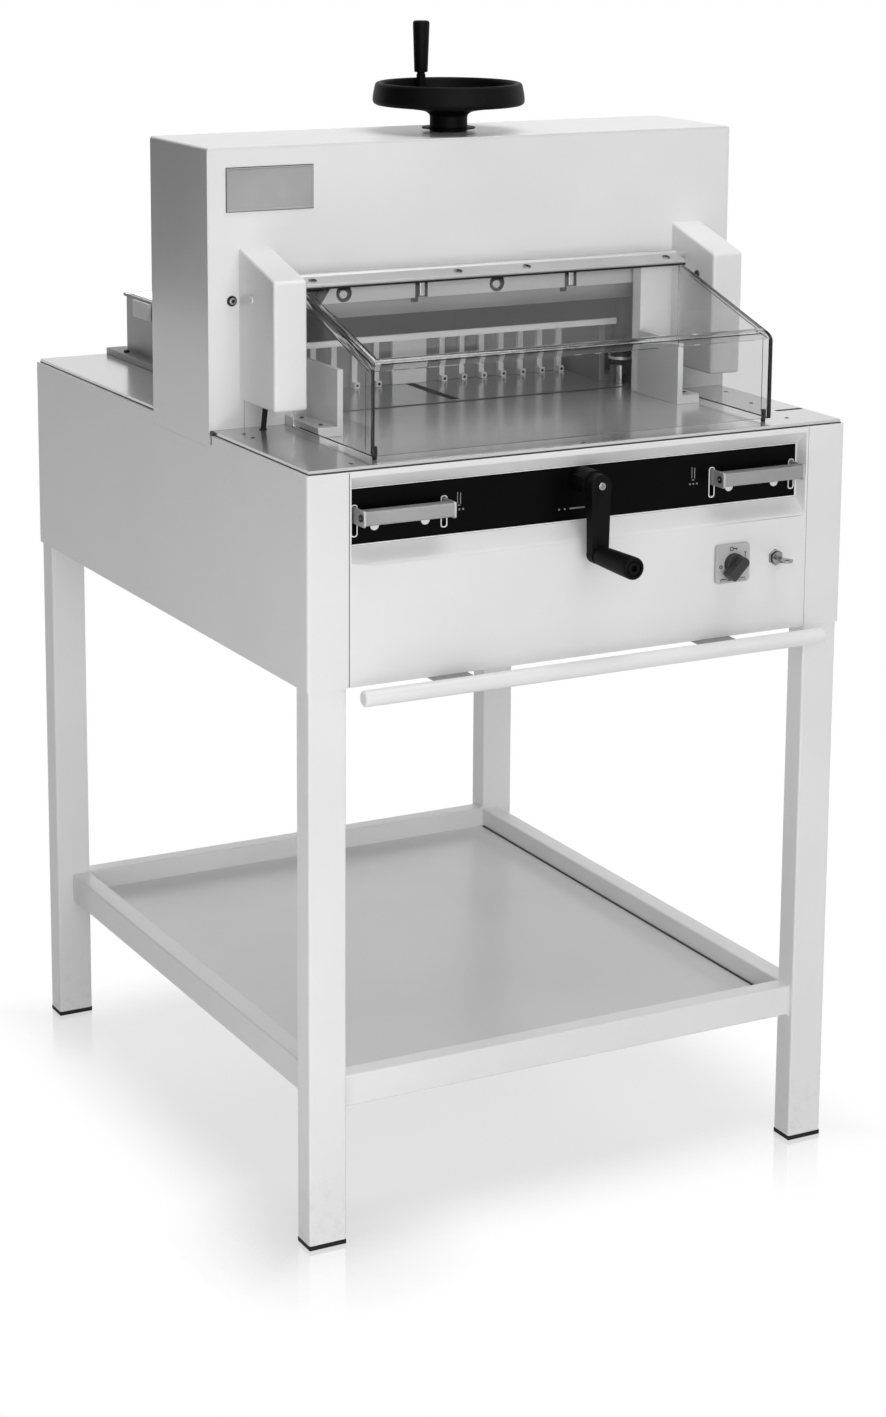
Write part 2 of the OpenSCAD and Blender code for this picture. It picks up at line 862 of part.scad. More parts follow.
// Beam under the table, grooved for the stick
module stick_beam() {
    beam_half = stick_l / 2 + 2;
    color(iron)
        difference() {
            slab([-beam_half, beam_half], [cy - stick / 2 - 12, cheek_y0 - 1], [zt - stick_beam_h, zt]);
            slab([-beam_half - 1, beam_half + 1], [cy - stick / 2 - fit, cy + stick / 2 + fit],
                [zs - stick, zt + 1]);
        }
}

// Cast side frame from the base plate to the crossbeam
module cheek() {
    slab([cheek_x0, cheek_x1], [cheek_y0, cheek_y1], [base_z1, beam_z0]);
}

module cheek_left() {
    color(iron)
        mirror([1, 0, 0])
            cheek();
}

// The right frame carries the drive shaft
module cheek_right() {
    color(iron)
        difference() {
            cheek();
            bar_y(shaft_x, shaft_z, shaft_r + run, [cheek_y0 - 1, cheek_y1 + 1]);
        }
}

// Crossbeam with the spindle's bearing
module crossbeam() {
    color(iron)
        difference() {
            slab([-cheek_x1, cheek_x1], [cheek_y0, cheek_y1], [beam_z0, beam_z1]);
            bar_z(0, spin_y, spindle_r + run, [beam_z0 - 1, beam_z1 + 1]);
        }
}

// Two chrome posts that guide the clamp
module clamp_posts() {
    color("#e2e4e6")
        both_sides()
            bar_z(post_x, post_y, post_r, [zs, beam_z0]);
}

// Slanted bar of the carrier's guide, given its middle and its extra width
module slanted_bar(mid_x, y, grow, long) {
    translate([mid_x, 0, (rail_low + rail_top) / 2])
        rotate([0, swing, 0])
            slab([-rail_w / 2 - grow, rail_w / 2 + grow], y, [-long / 2, long / 2]);
}

guide_bars = [-carrier_left + 0.92 * carrier_in_left + 41, carrier_right - 4.8 * rail_w];
bar_long = (rail_top - rail_low - rail_w * sin(swing)) / cos(swing);

// Plate across the cheeks with the two slanted rails of the carrier
module carrier_guides() {
    face = cheek_y0 - guide_plate_t;
    color(iron) {
        slab([-cheek_x1, cheek_x1], [face, cheek_y0], [clamp_z1 + 20, beam_z1]);
        for (x = guide_bars)
            slanted_bar(x, [carrier_y1 - groove + fit, face + 1], 0, bar_long);
    }
}

// Tower's front sheet with the paper mouth and its side folds
module tower_front() {
    half = mouth_w / 2;
    mouth_z = zt + mouth_h;
    color(white_paint) {
        difference() {
            along_y([ty0, ty0 + sheet])
                polygon(tower_outline(hw - sheet, zs, ztow - sheet, edge_r - sheet));
            slab([-half, half], [ty0 - 1, ty0 + sheet + 1], [zs - 1, mouth_z]);
        }
        both_sides()
            slab([half, half + sheet], [ty0 + sheet / 2, ty0 + mouth_fold], [zs, mouth_z]);
    }
}

// Tower's sides and top in one folded sheet
module tower_shell() {
    low = zt - tower_lap;
    color(white_paint)
        difference() {
            along_y([ty0, ty1])
                difference() {
                    polygon(tower_outline(hw, low, ztow, edge_r));
                    polygon(tower_outline(hw - sheet, low - 1, ztow - sheet, edge_r - sheet));
                }
            bar_z(0, spin_y, spindle_r + 4, [ztow - sheet - 1, ztow + 1]);
        }
}

// Tower's rear sheet, open over the rear table
module tower_rear() {
    color(white_paint)
        difference() {
            along_y([ty1 - sheet, ty1])
                polygon(tower_outline(hw - sheet, zs, ztow - sheet, edge_r - sheet));
            slab([-rear_mouth_w / 2, rear_mouth_w / 2], [ty1 - sheet - 1, ty1 + 1],
                [zs - 1, zt + rear_mouth_h]);
        }
}

// Two aluminium angles in front of the knife, their feet outwards
module front_guides() {
    y = [fy + guide_y, ty0 - fit];
    color(alu)
        both_sides() {
            slab([guide_x, guide_x + guide_t], y, [zs, zs + guide_h]);
            slab([guide_x + guide_t, guide_x + guide_t + guide_foot], y, [zs, zs + guide_foot_t]);
        }
}

// Two angles behind the clamp that carry the rear lid
module rear_guides() {
    wall_x = rear_guide_x1 - rear_guide_t;
    color(alu)
        both_sides() {
            slab([wall_x, rear_foot_x1], [rear_guide_y, rear_y], [zs, zs + rear_foot_t]);
            slab([wall_x, rear_guide_x1], [rear_guide_y, lid_y1 - 4], [zs + rear_foot_t, lid_z]);
        }
}

// Clear lid over the rear table
module rear_lid() {
    color(clear)
        slab([-rear_guide_x1 - 3, rear_guide_x1 + 3], [ty1 + 4, lid_y1], [lid_z, lid_z + lid_t]);
}

// Plastic clips that hold the lid to the guides
module lid_clips() {
    color("#e4e4e0")
        both_sides()
            for (y = [ty1 + clip_in, lid_y1 - clip_in - clip_l])
                slab([rear_guide_x1, rear_guide_x1 + clip_t], [y, y + clip_l], [lid_z - clip_h, lid_z]);
}

// Side outline of a hinge box, taken in by the sheet for its hollow
function box_outline(t, back) = [
    [box_y0 + t, box_z0 + t], [back, box_z0 + t],
    [back, box_z0 + box_h + (back - box_y0) * box_rise / box_d - t * 1.05],
    [box_y0 + t, box_z0 + box_h + t * box_rise / box_d - t * 1.05]];

// Right hinge box with the bearing of the guard's pin
module hinge_box() {
    difference() {
        union() {
            difference() {
                along_x([box_x0, box_x1])
                    polygon(box_outline(0, ty0));
                along_x([box_x0 + sheet, box_x1 - sheet])
                    polygon(box_outline(sheet, ty0 + 1));
            }
            bar_x(hinge_y, hinge_z, pin_r + 5, [box_x0 + sheet / 2, box_x0 + sheet + boss_l]);
        }
        bar_x(hinge_y, hinge_z, pin_r + run, [box_x0 - 1, box_x0 + sheet + boss_l + 1]);
    }
}

// The left box also lets the switch cable out
module hinge_box_left() {
    color("#dededc")
        difference() {
            mirror([1, 0, 0])
                hinge_box();
            bar_z(-cable_x, cable_y, cable_r + fit, [box_z0 - 1, box_z0 + sheet + 1]);
        }
}

module hinge_box_right() {
    color("#dededc")
        hinge_box();
}

// Guard switch in the left box and one switch over each release bar
module micro_switches() {
    color("#2b2d30") {
        slab([-box_x1 + sheet, -cable_x + 7], [cable_y - 14, cable_y + 14], [switch_z, switch_z + 34]);
        both_sides()
            slab([release_x - 15, release_x + 15], [panel_y1, panel_y1 + 24],
                [release_z0 + release_h + 4, release_z0 + release_h + 24]);
    }
}

// Cable from the guard switch down through the table
module box_cable() {
    color(black)
        bar_z(-cable_x, cable_y, cable_r, [zt - 50, switch_z]);
}

// Rotary main switch: front plate, neck and body behind the panel
module main_switch() {
    z = zt - switch_drop;
    half = switch_plate / 2;
    color("#9b9da0")
        difference() {
            union() {
                slab([switch_x - half, switch_x + half], [fy - 6, fy], [z - half, z + half]);
                bar_y(switch_x, z, 11, [fy - 1, fy + sheet + 1]);
                slab([switch_x - half + 3, switch_x + half - 3], [fy + sheet, fy + sheet + 44],
                    [z - half + 3, z + half - 3]);
            }
            bar_y(switch_x, z, stem_r + run, [fy - 7, fy + 5]);
        }
}

// Key lock with its ring in front
module key_lock() {
    z = zt - switch_drop;
    color("#c9cbcd")
        difference() {
            union() {
                bar_y(key_x, z, key_r, [fy - 6, fy]);
                bar_y(key_x, z, key_r - 2, [fy - 1, fy + 26]);
            }
            bar_y(key_x, z, key_r - 5 + run, [fy - 7, fy + 20]);
        }
}

// Knife motor, flanged to the gearbox
motor_y = cheek_y1 + gearbox_w / 2;
gearbox_x0 = shaft_x - gearbox_w / 2;

module motor() {
    color("#5b6066") {
        bar_x(motor_y, shaft_z, motor_r, [gearbox_x0 - motor_l, gearbox_x0]);
        bar_x(motor_y, shaft_z, motor_r * 0.86, [gearbox_x0 - motor_l - fan_l, gearbox_x0 - motor_l]);
        slab([gearbox_x0 - 1.8 * terminal_l, gearbox_x0 - 0.8 * terminal_l],
            [motor_y - terminal_w / 2, motor_y + terminal_w / 2],
            [shaft_z + motor_r * 0.7, shaft_z + terminal_up]);
    }
}

// Worm gearbox behind the right cheek
module gearbox() {
    color("#6d7278")
        difference() {
            slab([gearbox_x0, gearbox_x0 + gearbox_w], [cheek_y1, cheek_y1 + gearbox_w],
                [shaft_z - gearbox_h / 2, shaft_z + gearbox_h / 2]);
            bar_y(shaft_x, shaft_z, shaft_r + run, [cheek_y1 - 1, cheek_y1 + shaft_in + 2]);
        }
}

// Electrical control box on the base plate
module control_box() {
    color("#b9bcbf")
        slab([-hw + control_in, -hw + control_in + control_w],
            [cheek_y1 + control_back, cheek_y1 + control_back + control_d], [base_z1, base_z1 + control_h]);
}

// Two bearing blocks under the table for the gauge spindle
module spindle_bearings() {
    color(iron)
        for (y = [panel_y1 + 0.5, rear_bearing_y])
            difference() {
                slab([-bearing_w / 2, bearing_w / 2], [y, y + bearing_l], [axis_z - bearing_low, zt]);
                bar_y(0, axis_z, screw_r + run, [y - 1, y + bearing_l + 1]);
            }
}

// Direction along the hood's slope and the normal above it, in Y and Z
along = [cos(slope), sin(slope)];
above = [-sin(slope), cos(slope)];
bend = [gy, bend_z];
hood_end = slope_l - barrel_r - fit;
bend_cut = guard_bend * tan((90 - slope) / 2);
bend_c = [gy + guard_bend, bend_z - bend_cut];

// Height of the hood's inner face above a place along Y
function hood_in_z(y) = bend_z + (y - gy) * tan(slope) - guard_t / cos(slope);

// Bent clear sheet: sloped top and upright front
module guard_hood() {
    tip = bend + hood_end * along;
    outline = concat(
        [[gy, guard_z0]],
        arc(bend_c, guard_bend, 180, 90 + slope),
        [tip, tip - guard_t * above],
        arc(bend_c, guard_bend - guard_t, 90 + slope, 180),
        [[gy + guard_t, guard_z0]]);
    color(clear)
        along_x([-guard_half, guard_half])
            polygon(outline);
}

// Two clear side plates under the hood's ends
module guard_sides() {
    front = gy + guard_t;
    back = hinge_y - barrel_r - 1;
    cut = guard_bend - guard_t + 1;
    corner = 12;
    color(clear)
        both_sides()
            along_x([guard_half - guard_t, guard_half])
                polygon([
                    [front, guard_z0], [back - corner, guard_z0], [back, guard_z0 + corner],
                    [back, hood_in_z(back)], [front + cut, hood_in_z(front + cut)],
                    [front, hood_in_z(front) - cut]]);
}

// Aluminium strip along the hood's top edge, with the hinge barrel and its pins
module guard_profile() {
    half = guard_half - strip_in;
    reach = box_x0 + sheet + boss_l;
    seat = 0.01;
    place = function(s, n) bend + s * along + n * above;
    color(alu) {
        along_x([-half, half])
            polygon([
                place(slope_l - strip_w, seat), place(slope_l, seat),
                place(slope_l, strip_t), place(slope_l - strip_w + 2, strip_t),
                place(slope_l - strip_w, strip_t - 2)]);
        bar_x(hinge_y, hinge_z, barrel_r, [-half, half]);
        bar_x(hinge_y, hinge_z, pin_r, [-reach, reach]);
    }
}

// Rubber buffers in the hood's front corners
module guard_bumpers() {
    r = 3;
    color(black)
        both_sides()
            bar_z(guard_half - guard_t - r, gy + guard_t + r, r, [zs + fit, zs + 16]);
}

// Left edge of the carrier at a height
function carrier_edge(z) = -carrier_left + (z - carrier_z0) * tan(swing);

// Carrier plate with bolt recesses, slots and the slanted grooves behind
module knife_carrier() {
    bolt_z = carrier_z0 + 12;
    recess_d = carrier_t / 2;
    pitch = 111;
    first = -carrier_left + 32;
    color("#d8dadb")
        difference() {
            along_y([carrier_y0, carrier_y1])
                polygon([[-carrier_left, carrier_z0], [carrier_right, carrier_z0],
                    [carrier_right, carrier_z1], [carrier_edge(carrier_z1), carrier_z1]]);
            for (i = [0, 2])
                bar_y(first + i * pitch, bolt_z, 11, [carrier_y0 - 1, carrier_y0 + recess_d]);
            for (i = [1, 3])
                slab([first + i * pitch - 9, first + i * pitch + 9], [carrier_y0 - 1, carrier_y0 + recess_d],
                    [carrier_z0 - 1, carrier_z0 + 45]);
            for (x = guide_bars)
                slanted_bar(x, [carrier_y1 - groove, carrier_y1 + 1], fit, 3 * (carrier_z1 - carrier_z0));
        }
}

// Knife with a slanted left end and a ground bevel on its front
module knife_blade() {
    top = edge_z + blade_h;
    color("#aeb1b4")
        difference() {
            along_y([carrier_y1, cy])
                polygon([
                    [-carrier_left, carrier_z0], [-carrier_left + blade_show * 1.6, edge_z],
                    [carrier_right, edge_z], [carrier_right, top], [carrier_edge(top), top]]);
            along_x([-carrier_left - 1, carrier_right + 1])
                polygon([[carrier_y1 - 1, edge_z - 1], [cy - 0.4, edge_z - 1], [cy - 0.4, edge_z],
                    [carrier_y1, edge_z + bevel_h], [carrier_y1 - 1, edge_z + bevel_h]]);
        }
}

// Rod from the carrier down to the drive crank
module pull_rod() {
    eye_r = pull_w / 2 + 4;
    color("#7c8085")
        difference() {
            union() {
                slab([pull_x - pull_w / 2, pull_x + pull_w / 2], [pull_y0, carrier_y0],
                    [eye_z, carrier_z0 + 80]);
                bar_y(pull_x, eye_z, eye_r, [pull_y0, carrier_y0]);
            }
            bar_y(pull_x, eye_z, eye_r - 6, [pull_y0 - 1, carrier_y0 + 1]);
        }
}

// Crank on the gearbox shaft, its pin facing the rod's eye
module drive_crank() {
    web = [carrier_y0 + 4, carrier_y0 + 20];
    throw = norm([stroke_x, stroke_z]) / 2;
    hub_r = shaft_r + 12;
    end_r = 15;
    color("#7c8085") {
        bar_y(shaft_x, shaft_z, hub_r, web);
        bar_y(pull_x, eye_z, end_r, web);
        bar_y(pull_x, eye_z, 10, [carrier_y0 + fit, web[0] + 1]);
        bar_y(shaft_x, shaft_z, shaft_r, [web[1] - 1, cheek_y1 + shaft_in]);
        translate([shaft_x, 0, shaft_z])
            rotate([0, swing, 0])
                slab([-end_r * 0.85, end_r * 0.85], web, [0, throw]);
    }
}

// Clamp beam with a proud sole and an ear round each post
module clamp_beam() {
    half = clamp_l / 2;
    ear_z = [clamp_z1 - 40, clamp_z1 - 6];
    color("#b8bbbe")
        difference() {
            union() {
                slab([-half, half], [clamp_y0, clamp_y1], [clamp_z0, clamp_z0 + sole_h]);
                slab([-half, half], [clamp_y0 + sole_out, clamp_y1], [clamp_z0, clamp_z1]);
                both_sides()
                    slab([half - 1, ear_x], [post_y - post_r - 5, post_y + post_r + 5], ear_z);
            }
            both_sides()
                bar_z(post_x, post_y, post_r + run, [clamp_z0 - 1, clamp_z1 + 1]);
        }
}

// Bronze nut on a sleeve above the clamp
module clamp_nut() {
    color("#b08d57")
        difference() {
            bar_z(0, spin_y, sleeve_r, [clamp_z1, sleeve_z1]);
            bar_z(0, spin_y, spindle_r + 2, [clamp_z1 - 1, sleeve_z1 - nut_h]);
            bar_z(0, spin_y, spindle_r + run, [sleeve_z1 - nut_h - 1, sleeve_z1 + 1]);
        }
}

// Half section of the handwheel, from the hub out to the rim
wheel_section = concat(
    [[journal_r + run, 0], [wheel_hub_r, 0], [wheel_hub_r, 3.5], [wheel_flange_r, 3.5], [wheel_flange_r, 5],
        [wheel_hub_r, 5], [wheel_hub_r, 20], [wheel_hub_r + 14, 27], [wheel_r * 0.66, rim_z0 - wheel_z0 - 1]],
    arc([wheel_r - 6, rim_z0 - wheel_z0 + 6], 6, 270, 370),
    arc([wheel_r - 9, wheel_h - 4], 4, 10, 190),
    [[wheel_r - 14, web_z - wheel_z0 + 4], [wheel_r - 14.6, web_z - wheel_z0],
        [wheel_r * 0.72, web_z - wheel_z0], [wheel_hub_r + 8, 33], [journal_r + run, 33]]);

// Dished black handwheel with a bore for its grip
module handwheel() {
    color(black)
        difference() {
            translate([0, spin_y, wheel_z0])
                rotate_extrude($fn = 96)
                    polygon(wheel_section);
            bar_z(0, spin_y + knob_offset, stem_r + run, [wheel_z0, web_z + 5]);
        }
}

// Clamp spindle with its thrust collar
module clamp_spindle() {
    color(steel) {
        bar_z(0, spin_y, spindle_r, [spindle_z0, beam_z1 + 1]);
        bar_z(0, spin_y, spindle_r + 6, [beam_z1 + fit, ztow - sheet - 4]);
        bar_z(0, spin_y, journal_r, [beam_z1 + 1, wheel_z0 + 30]);
    }
}

// Half section of a turned grip: thin stem, neck and tapered body
function grip_section(stem, neck, body, r) = concat(
    [[0, -stem], [stem_r, -stem], [stem_r, 0], [r * 0.55, 0], [r * 0.55, neck], [r * 0.82, neck],
        [r * 0.84, neck + 2]],
    arc([r - 2, neck + body - 2], 2, 0, 90),
    [[0, neck + body]]);

// Upright grip on the handwheel
module wheel_grip() {
    color(black)
        translate([0, spin_y + knob_offset, web_z + fit])
            rotate_extrude()
                polygon(grip_section(8, wheel_z1 - web_z + 8, knob_l, knob_r));
}

// Places of the comb's ribs
rib_count = floor((gauge_w / 2 - rib_first - rib_w / 2) / rib_pitch);
rib_x = [for (s = [-1, 1], i = [0:rib_count]) s * (rib_first + i * rib_pitch)];

// Comb-fronted back gauge with small feet
module backgauge() {
    half = gauge_w / 2;
    top = zs + gauge_h;
    foot = 8;
    color("#d0d2d4") {
        slab([-half, half], [plate_y, plate_y + gauge_t], [gauge_z0, top]);
        slab([-half, half], [plate_y + gauge_t - 1, plate_y + gauge_t + 30], [top - 6, top]);
        slab([-half, half], [plate_y + gauge_t - 1, nut_y + nut_l], [gauge_z0, gauge_z0 + 10]);
        slab([-comb_block / 2, comb_block / 2], [gauge_y, plate_y + 1], [gauge_z0, top]);
        for (x = rib_x) {
            slab([x - rib_w / 2, x + rib_w / 2], [gauge_y, plate_y + 1], [gauge_z0, top]);
            slab([x - rib_w / 2, x + rib_w / 2], [gauge_y - foot, gauge_y + 1], [gauge_z0, gauge_z0 + foot]);
        }
    }
}

// Nut on the gauge spindle with its neck up through the table's slot
module gauge_carriage() {
    neck = slot_w / 2 - fit;
    color("#9a9ea2")
        difference() {
            union() {
                slab([-nut_half, nut_half], [nut_y, nut_y + nut_l], [axis_z - nut_half, axis_z + nut_half]);
                slab([-neck, neck], [nut_y + 4, nut_y + nut_l - 4], [axis_z + nut_half - 1, gauge_z0]);
            }
            bar_y(0, axis_z, screw_r + run, [nut_y - 1, nut_y + nut_l + 1]);
        }
}

// Crank arm: hub at the panel, tapered arm and lower eye
module crank_arm() {
    color(black)
        difference() {
            union() {
                bar_y(0, axis_z, crank_hub_r, [arm_y0, panel_y0 - fit]);
                bar_y(0, axis_z, crank_collar_r, [arm_y1 + 3, panel_y0 - fit]);
                bar_y(0, grip_z, arm_end_r, [arm_y0, arm_y1]);
                along_y([arm_y0, arm_y1])
                    polygon([[-crank_hub_r + 0.5, axis_z], [-arm_end_r + 0.5, grip_z],
                        [arm_end_r - 0.5, grip_z], [crank_hub_r - 0.5, axis_z]]);
            }
            bar_y(0, axis_z, screw_r - 1 + run, [arm_y0 + 8, panel_y0]);
            bar_y(0, grip_z, stem_r + run, [arm_y0 - 1, arm_y1 + 1]);
        }
}

// Spindle of the back gauge, turned by the crank
module gauge_spindle() {
    color(steel) {
        bar_y(0, axis_z, screw_r, [panel_y0 + 1, rear_bearing_y + bearing_l]);
        bar_y(0, axis_z, screw_r - 1, [arm_y0 + 8.5, panel_y0 + 2]);
    }
}

// Turning grip of the crank
module crank_grip() {
    color(black)
        translate([0, arm_y0 - fit, grip_z])
            rotate([90, 0, 0])
                rotate_extrude()
                    polygon(grip_section(arm_t - 2, 2, grip_l - 2 - fit, grip_r));
}

// Release bar with two brackets through the panel and a tie behind it
module release_bar() {
    y = [release_y0, release_y0 + release_d];
    z = [release_z0, release_z0 + release_h];
    outer = release_half + bracket_t;
    color(alu)
        translate([release_x, 0, 0]) {
            slab([-release_half, release_half], y, z);
            for (s = [0, 1])
                mirror([s, 0, 0])
                    slab([release_half, outer], [y[0], tie_y], [z[0] + 1, z[1]]);
            slab([-outer, outer], [tie_y, tie_y + bracket_t], [z[0] + 1, z[1]]);
        }
}

module release_bar_left() {
    mirror([1, 0, 0])
        release_bar();
}

module release_bar_right() {
    release_bar();
}

// Switch knob with a slanted handle
module switch_knob() {
    y1 = fy - 6 - fit;
    color("#4a4c4f")
        translate([switch_x, 0, zt - switch_drop]) {
            bar_y(0, 0, switch_r, [y1 - 8, y1]);
            bar_y(0, 0, stem_r, [y1 - 1, fy + 4]);
            rotate([0, 45, 0])
                slab([-switch_r * 0.42, switch_r * 0.42], [y1 - 22, y1 - 7], [-switch_r - 5, switch_r]);
        }
}

// Key with its barrel in the lock
module key() {
    t = key_t / 2;
    bow_y = fy - 8 - key_bow_r - 6.5;
    color("#d6d8da")
        translate([key_x, 0, zt - switch_drop]) {
            bar_y(0, 0, key_r - 5, [fy - 8, fy + 18]);
            difference() {
                union() {
                    slab([-4, 4], [bow_y, fy - 7], [-t, t]);
                    bar_z(0, bow_y, key_bow_r, [-t, t]);
                }
                bar_z(0, bow_y - key_bow_r * 0.37, key_bow_r * 0.3, [-t - 1, t + 1]);
            }
        }
}

stand_legs();
foot_pads();
shelf_rails();
shelf_tray();
front_bar();
base_plate();
side_panel_left();
side_panel_right();
front_panel();
control_panel();
rear_panel();
mains_inlet();
work_table();
cutting_stick();
stick_beam();
cheek_left();
cheek_right();
crossbeam();
clamp_posts();
carrier_guides();
tower_front();
tower_shell();
tower_rear();
front_guides();
rear_guides();
rear_lid();
lid_clips();
hinge_box_left();
hinge_box_right();
micro_switches();
box_cable();
main_switch();
key_lock();
motor();
gearbox();
control_box();
spindle_bearings();
guard_hood();
guard_sides();
guard_profile();
guard_bumpers();
knife_carrier();
knife_blade();
pull_rod();
drive_crank();
clamp_beam();
clamp_nut();
handwheel();
clamp_spindle();
wheel_grip();
backgauge();
gauge_carriage();
crank_arm();
gauge_spindle();
crank_grip();
release_bar_left();
release_bar_right();
switch_knob();
key();
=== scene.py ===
import bpy
import bmesh
import math
from mathutils import Matrix, Vector


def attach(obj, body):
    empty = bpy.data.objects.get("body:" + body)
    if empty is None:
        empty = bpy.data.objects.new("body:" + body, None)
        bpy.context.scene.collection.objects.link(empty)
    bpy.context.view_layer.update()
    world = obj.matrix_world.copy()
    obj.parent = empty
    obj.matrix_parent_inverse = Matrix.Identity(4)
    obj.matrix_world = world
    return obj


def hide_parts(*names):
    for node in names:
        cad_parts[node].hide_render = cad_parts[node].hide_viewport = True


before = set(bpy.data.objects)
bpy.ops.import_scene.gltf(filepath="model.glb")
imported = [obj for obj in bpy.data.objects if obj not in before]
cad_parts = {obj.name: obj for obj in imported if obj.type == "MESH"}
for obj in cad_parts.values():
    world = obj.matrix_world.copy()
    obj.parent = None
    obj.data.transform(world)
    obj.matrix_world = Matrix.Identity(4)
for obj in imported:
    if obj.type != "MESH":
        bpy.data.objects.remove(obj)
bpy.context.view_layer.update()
scene = bpy.context.scene
mm = 0.001
frontPlane = -0.3895  # the housing's front, along Y
print("frame loaded:", len(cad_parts), "nodes")


# sizes are written in mm: X from the middle, Y back from the housing's front, Z up from the floor
def at(x, y, z):
    return Vector((x * mm, frontPlane + y * mm, z * mm))


def linear(tone):  # six hex digits, or two for a grey
    digits = tone * 3 if len(tone) == 2 else tone
    parts = [int(digits[i:i + 2], 16) / 255 for i in (0, 2, 4)]
    return tuple(c / 12.92 if c <= 0.04045 else ((c + 0.055) / 1.055) ** 2.4 for c in parts) + (1,)


def addNode(tree, kind, settings=None, links=None):
    node = tree.nodes.new("ShaderNode" + kind)
    for name, value in (settings or {}).items():
        if isinstance(name, int) or name in node.inputs:
            node.inputs[name].default_value = value
        else:
            setattr(node, name, value)
    for name, source in (links or {}).items():
        tree.links.new(source, node.inputs[name])
    return node


def noise(tree, coords, sizeMm, detail, rough=0.5):
    settings = {"Scale": 1000 / sizeMm, "Detail": detail, "Roughness": rough}
    return addNode(tree, "TexNoise", settings, {"Vector": coords}).outputs["Fac"]


def mapRange(tree, value, low, high, start=0.0, end=1.0, **more):
    settings = {"From Min": low, "From Max": high, "To Min": start, "To Max": end, **more}
    return addNode(tree, "MapRange", settings, {"Value": value}).outputs["Result"]


# second: a number or another node's output
def calculate(tree, operation, first, second=0.0):
    settings, links = {"operation": operation}, {0: first}
    (settings if isinstance(second, float) else links)[1] = second
    return addNode(tree, "Math", settings, links).outputs[0]


def emptyTree(owner):
    owner.use_nodes = True
    owner.node_tree.nodes.clear()
    return owner.node_tree


def newMaterial(name):
    finish = bpy.data.materials.new(name)
    tree = emptyTree(finish)
    return finish, tree, addNode(tree, "TexCoord").outputs["Object"]


# a slow drift of colour and gloss over the surface, and a fine grain that lifts the light
def makeFinish(name, settings, look):
    finish, tree, coords = newMaterial(name)
    slow = noise(tree, coords, look["driftMm"], look.get("detail", 3.0), 0.55)
    tone = addNode(tree, "ValToRGB", None, {"Fac": slow})
    for element, position, shade in zip(tone.color_ramp.elements, (0.2, 0.8), ("dark", "light")):
        element.position = position
        element.color = linear(look[shade])
    colour = tone.outputs["Color"]
    gloss = mapRange(tree, slow, 0.3, 0.7, *look["rough"])
    if "scratchMm" in look:  # sparse wear lines, duller than the ground around them
        slant = addNode(tree, "Mapping", {"Scale": (1, 26, 1), "Rotation": (0, 0, 0.5)}, {"Vector": coords})
        lines = noise(tree, slant.outputs["Vector"], look["scratchMm"], 2.0)
        gloss = calculate(tree, "ADD", gloss, mapRange(tree, lines, 0.64, 0.82, 0.0, 0.05))
    if "scuffMm" in look:  # scuffs from shoes and brooms, fading out above the floor
        height = addNode(tree, "SeparateXYZ", None, {"Vector": coords}).outputs["Z"]
        low = mapRange(tree, height, 0.0, look["scuffMm"] * mm, 1.0, 0.0)
        spots = mapRange(tree, noise(tree, coords, 16, 6.0, 0.7), 0.52, 0.72, 0.0, 0.3)
        scuff = calculate(tree, "MULTIPLY", low, spots)
        rubbed = {"Color2": linear("8f")}
        colour = addNode(tree, "MixRGB", rubbed, {"Fac": scuff, "Color1": colour}).outputs[0]
    if "stretch" in look:  # draws the grain out into lines
        coords = addNode(tree, "Mapping", {"Scale": look["stretch"]}, {"Vector": coords}).outputs["Vector"]
    grain = noise(tree, coords, look["grainMm"], 4.0, 0.6)
    lift = {"Strength": look["bump"], "Distance": look["bumpMm"] * mm}
    bump = addNode(tree, "Bump", lift, {"Height": grain})
    sources = {"Base Color": colour, "Roughness": gloss, "Normal": bump.outputs["Normal"]}
    shader = addNode(tree, "BsdfPrincipled", settings, sources)
    addNode(tree, "OutputMaterial", None, {"Surface": shader.outputs["BSDF"]})
    return finish


# polyester powder coat on sheet steel: soft sheen with a faint orange peel.
# Real peel is near 1 mm wide; drawn at 2.2 mm so that it shows
def makePowderCoat(name, dark, light, rough=(0.285, 0.36), wear=None):
    look = {"driftMm": 220, "dark": dark, "light": light, "rough": rough, "detail": 2.0,
            "grainMm": 2.2, "bump": 0.14, "bumpMm": 0.12, **(wear or {})}
    return makeFinish(name, {"IOR": 1.5, "Coat Weight": 0.25, "Coat Roughness": 0.2}, look)


# ground, polished or brushed metal, with fine lines along one way;
# an anodised or oxide skin scatters part of the light, so it is less than fully metallic
def makeMetal(name, dark, light, rough, stretch, lineMm, bump=0.05, metallic=1.0, driftMm=90, wear=None):
    look = {"driftMm": driftMm, "dark": dark, "light": light, "rough": rough, "stretch": stretch,
            "grainMm": lineMm, "bump": bump, "bumpMm": 0.05, **(wear or {})}
    return makeFinish(name, {"Metallic": metallic}, look)


# moulded plastic: even colour with a fine spark-eroded grain, near 0.5 mm, drawn at 1.2 mm
def makePlastic(name, dark, light, rough, grainMm=1.2, bump=0.12, skin=0.5):
    look = {"driftMm": 60, "dark": dark, "light": light, "rough": rough,
            "grainMm": grainMm, "bump": bump, "bumpMm": 0.08}
    return makeFinish(name, {"IOR": 1.5, "Specular IOR Level": skin}, look)


